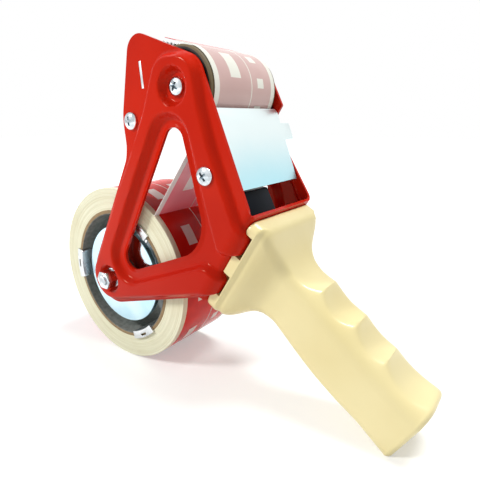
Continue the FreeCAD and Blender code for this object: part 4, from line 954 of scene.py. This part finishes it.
def section(top, foot, half, top_round, foot_round):
    """A rounded rectangle, anticlockwise from its foot's end, with as many places at any size."""
    top_round = min(top_round, half - 0.3, (top - foot) / 2)
    foot_round = min(foot_round, half - 0.3)
    outline = []
    corners = [(half, foot, foot_round, -1, 1, 8), (half, top, top_round, 1, 1, 24),
               (-half, top, top_round, 1, -1, 24), (-half, foot, foot_round, -1, -1, 8)]
    for number, (y, h, radius, up, side, count) in enumerate(corners):
        centre = (y - side * radius, h - up * radius)
        for k in range(count + 1):
            turn = math.pi / 2 * (number - 1 + k / count)
            outline.append((centre[0] + radius * math.cos(turn), centre[1] + radius * math.sin(turn)))
        after = corners[(number + 1) % 4]
        to = ((half, after[1] - after[2]), (-half + after[2], top), (-half, foot + after[2]),
              (half - after[2], foot))[number]
        here = outline[-1]
        steps = (9, 5, 9, 8)[number]
        outline += [(here[0] + (to[0] - here[0]) * k / steps, here[1] + (to[1] - here[1]) * k / steps)
                    for k in range(1, steps)]
    return np.array(outline)


least_round, soft = 0.5, 0.9
points = []
for out, (top, foot, half, top_round, foot_round), draw_in in rings:
    outline = section(top - draw_in, foot + draw_in, half - draw_in, max(top_round - draw_in, least_round),
                      max(foot_round - draw_in, least_round))
    y, h = outline[:, 0], outline[:, 1]
    # the hollows cap the top: a soft least of the outline's height and the nearest hollow's
    ceiling = min(low + (out - centre) ** 2 / (2 * radius) for centre, low, radius in scoops) - draw_in
    h = np.where(h > foot / 2, -soft * np.logaddexp(-h / soft, -ceiling / soft), h)
    lean = out - butt_slant * h * swell(np.array(out - butt + slant_run), slant_run)
    x = grip_start[0] + outward[0] * lean + along[0] * h
    z = grip_start[1] + outward[1] * lean + along[1] * h
    points += list(np.stack([x, mid_y + y, np.maximum(z, 0.0)], 1))
size = len(points) // len(rings)
faces = ring_faces(len(rings), size)
faces += [tuple(range(size)), tuple(range((len(rings) - 1) * size, len(rings) * size))]

cream_plastic, start = new_material("cream_plastic")
clouds = speckle(start, 18.0)
skin = speckle(start, 650.0, 2.0)
wear = speckle(start, 60.0, 5.0)
tone = clouds.between(0.3, 0.7).blend((0.80, 0.68, 0.33, 1), (0.86, 0.75, 0.40, 1))
coated(start, Base_Color=tone, Roughness=0.26 + 0.14 * wear, Coat_Weight=0.25, Coat_Roughness=0.12,
       Normal=grain(start, skin, 0.00005, 0.5))
handle = new_piece("moulded_grip", points, faces, cream_plastic)
# the flange is notched where a rib's end stands on the web
notch_room, notch_outs, notch_sides = 0.8, (-2.0, 5.0), (23.0, 31.0)
for side, (low, high) in ((-1, high_foot), (-1, low_foot), (1, high_foot)):
    low, high = low - grip_share * web_length - notch_room, high - grip_share * web_length + notch_room
    corners = []
    for out in notch_outs:
        for y in notch_sides:
            for h in (low, high):
                p = grip_start + outward * out + along * h
                corners.append((p[0], mid_y + side * y, p[1]))
    boxed = [(0, 1, 3, 2), (4, 6, 7, 5), (0, 4, 5, 1), (2, 3, 7, 6), (0, 2, 6, 4), (1, 5, 7, 3)]
    cut_away(handle, new_piece("notch_cutter", corners, boxed, cream_plastic))
smoothed(handle, 42)
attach(handle, "frame_body")
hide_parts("handle")

brass = metal("brass", (0.55, 0.38, 0.13, 1), (0.70, 0.52, 0.22, 1), 0.2, 0.35)
dressed("handle_bolts", turned_steel)
dressed("handle_inserts", brass)
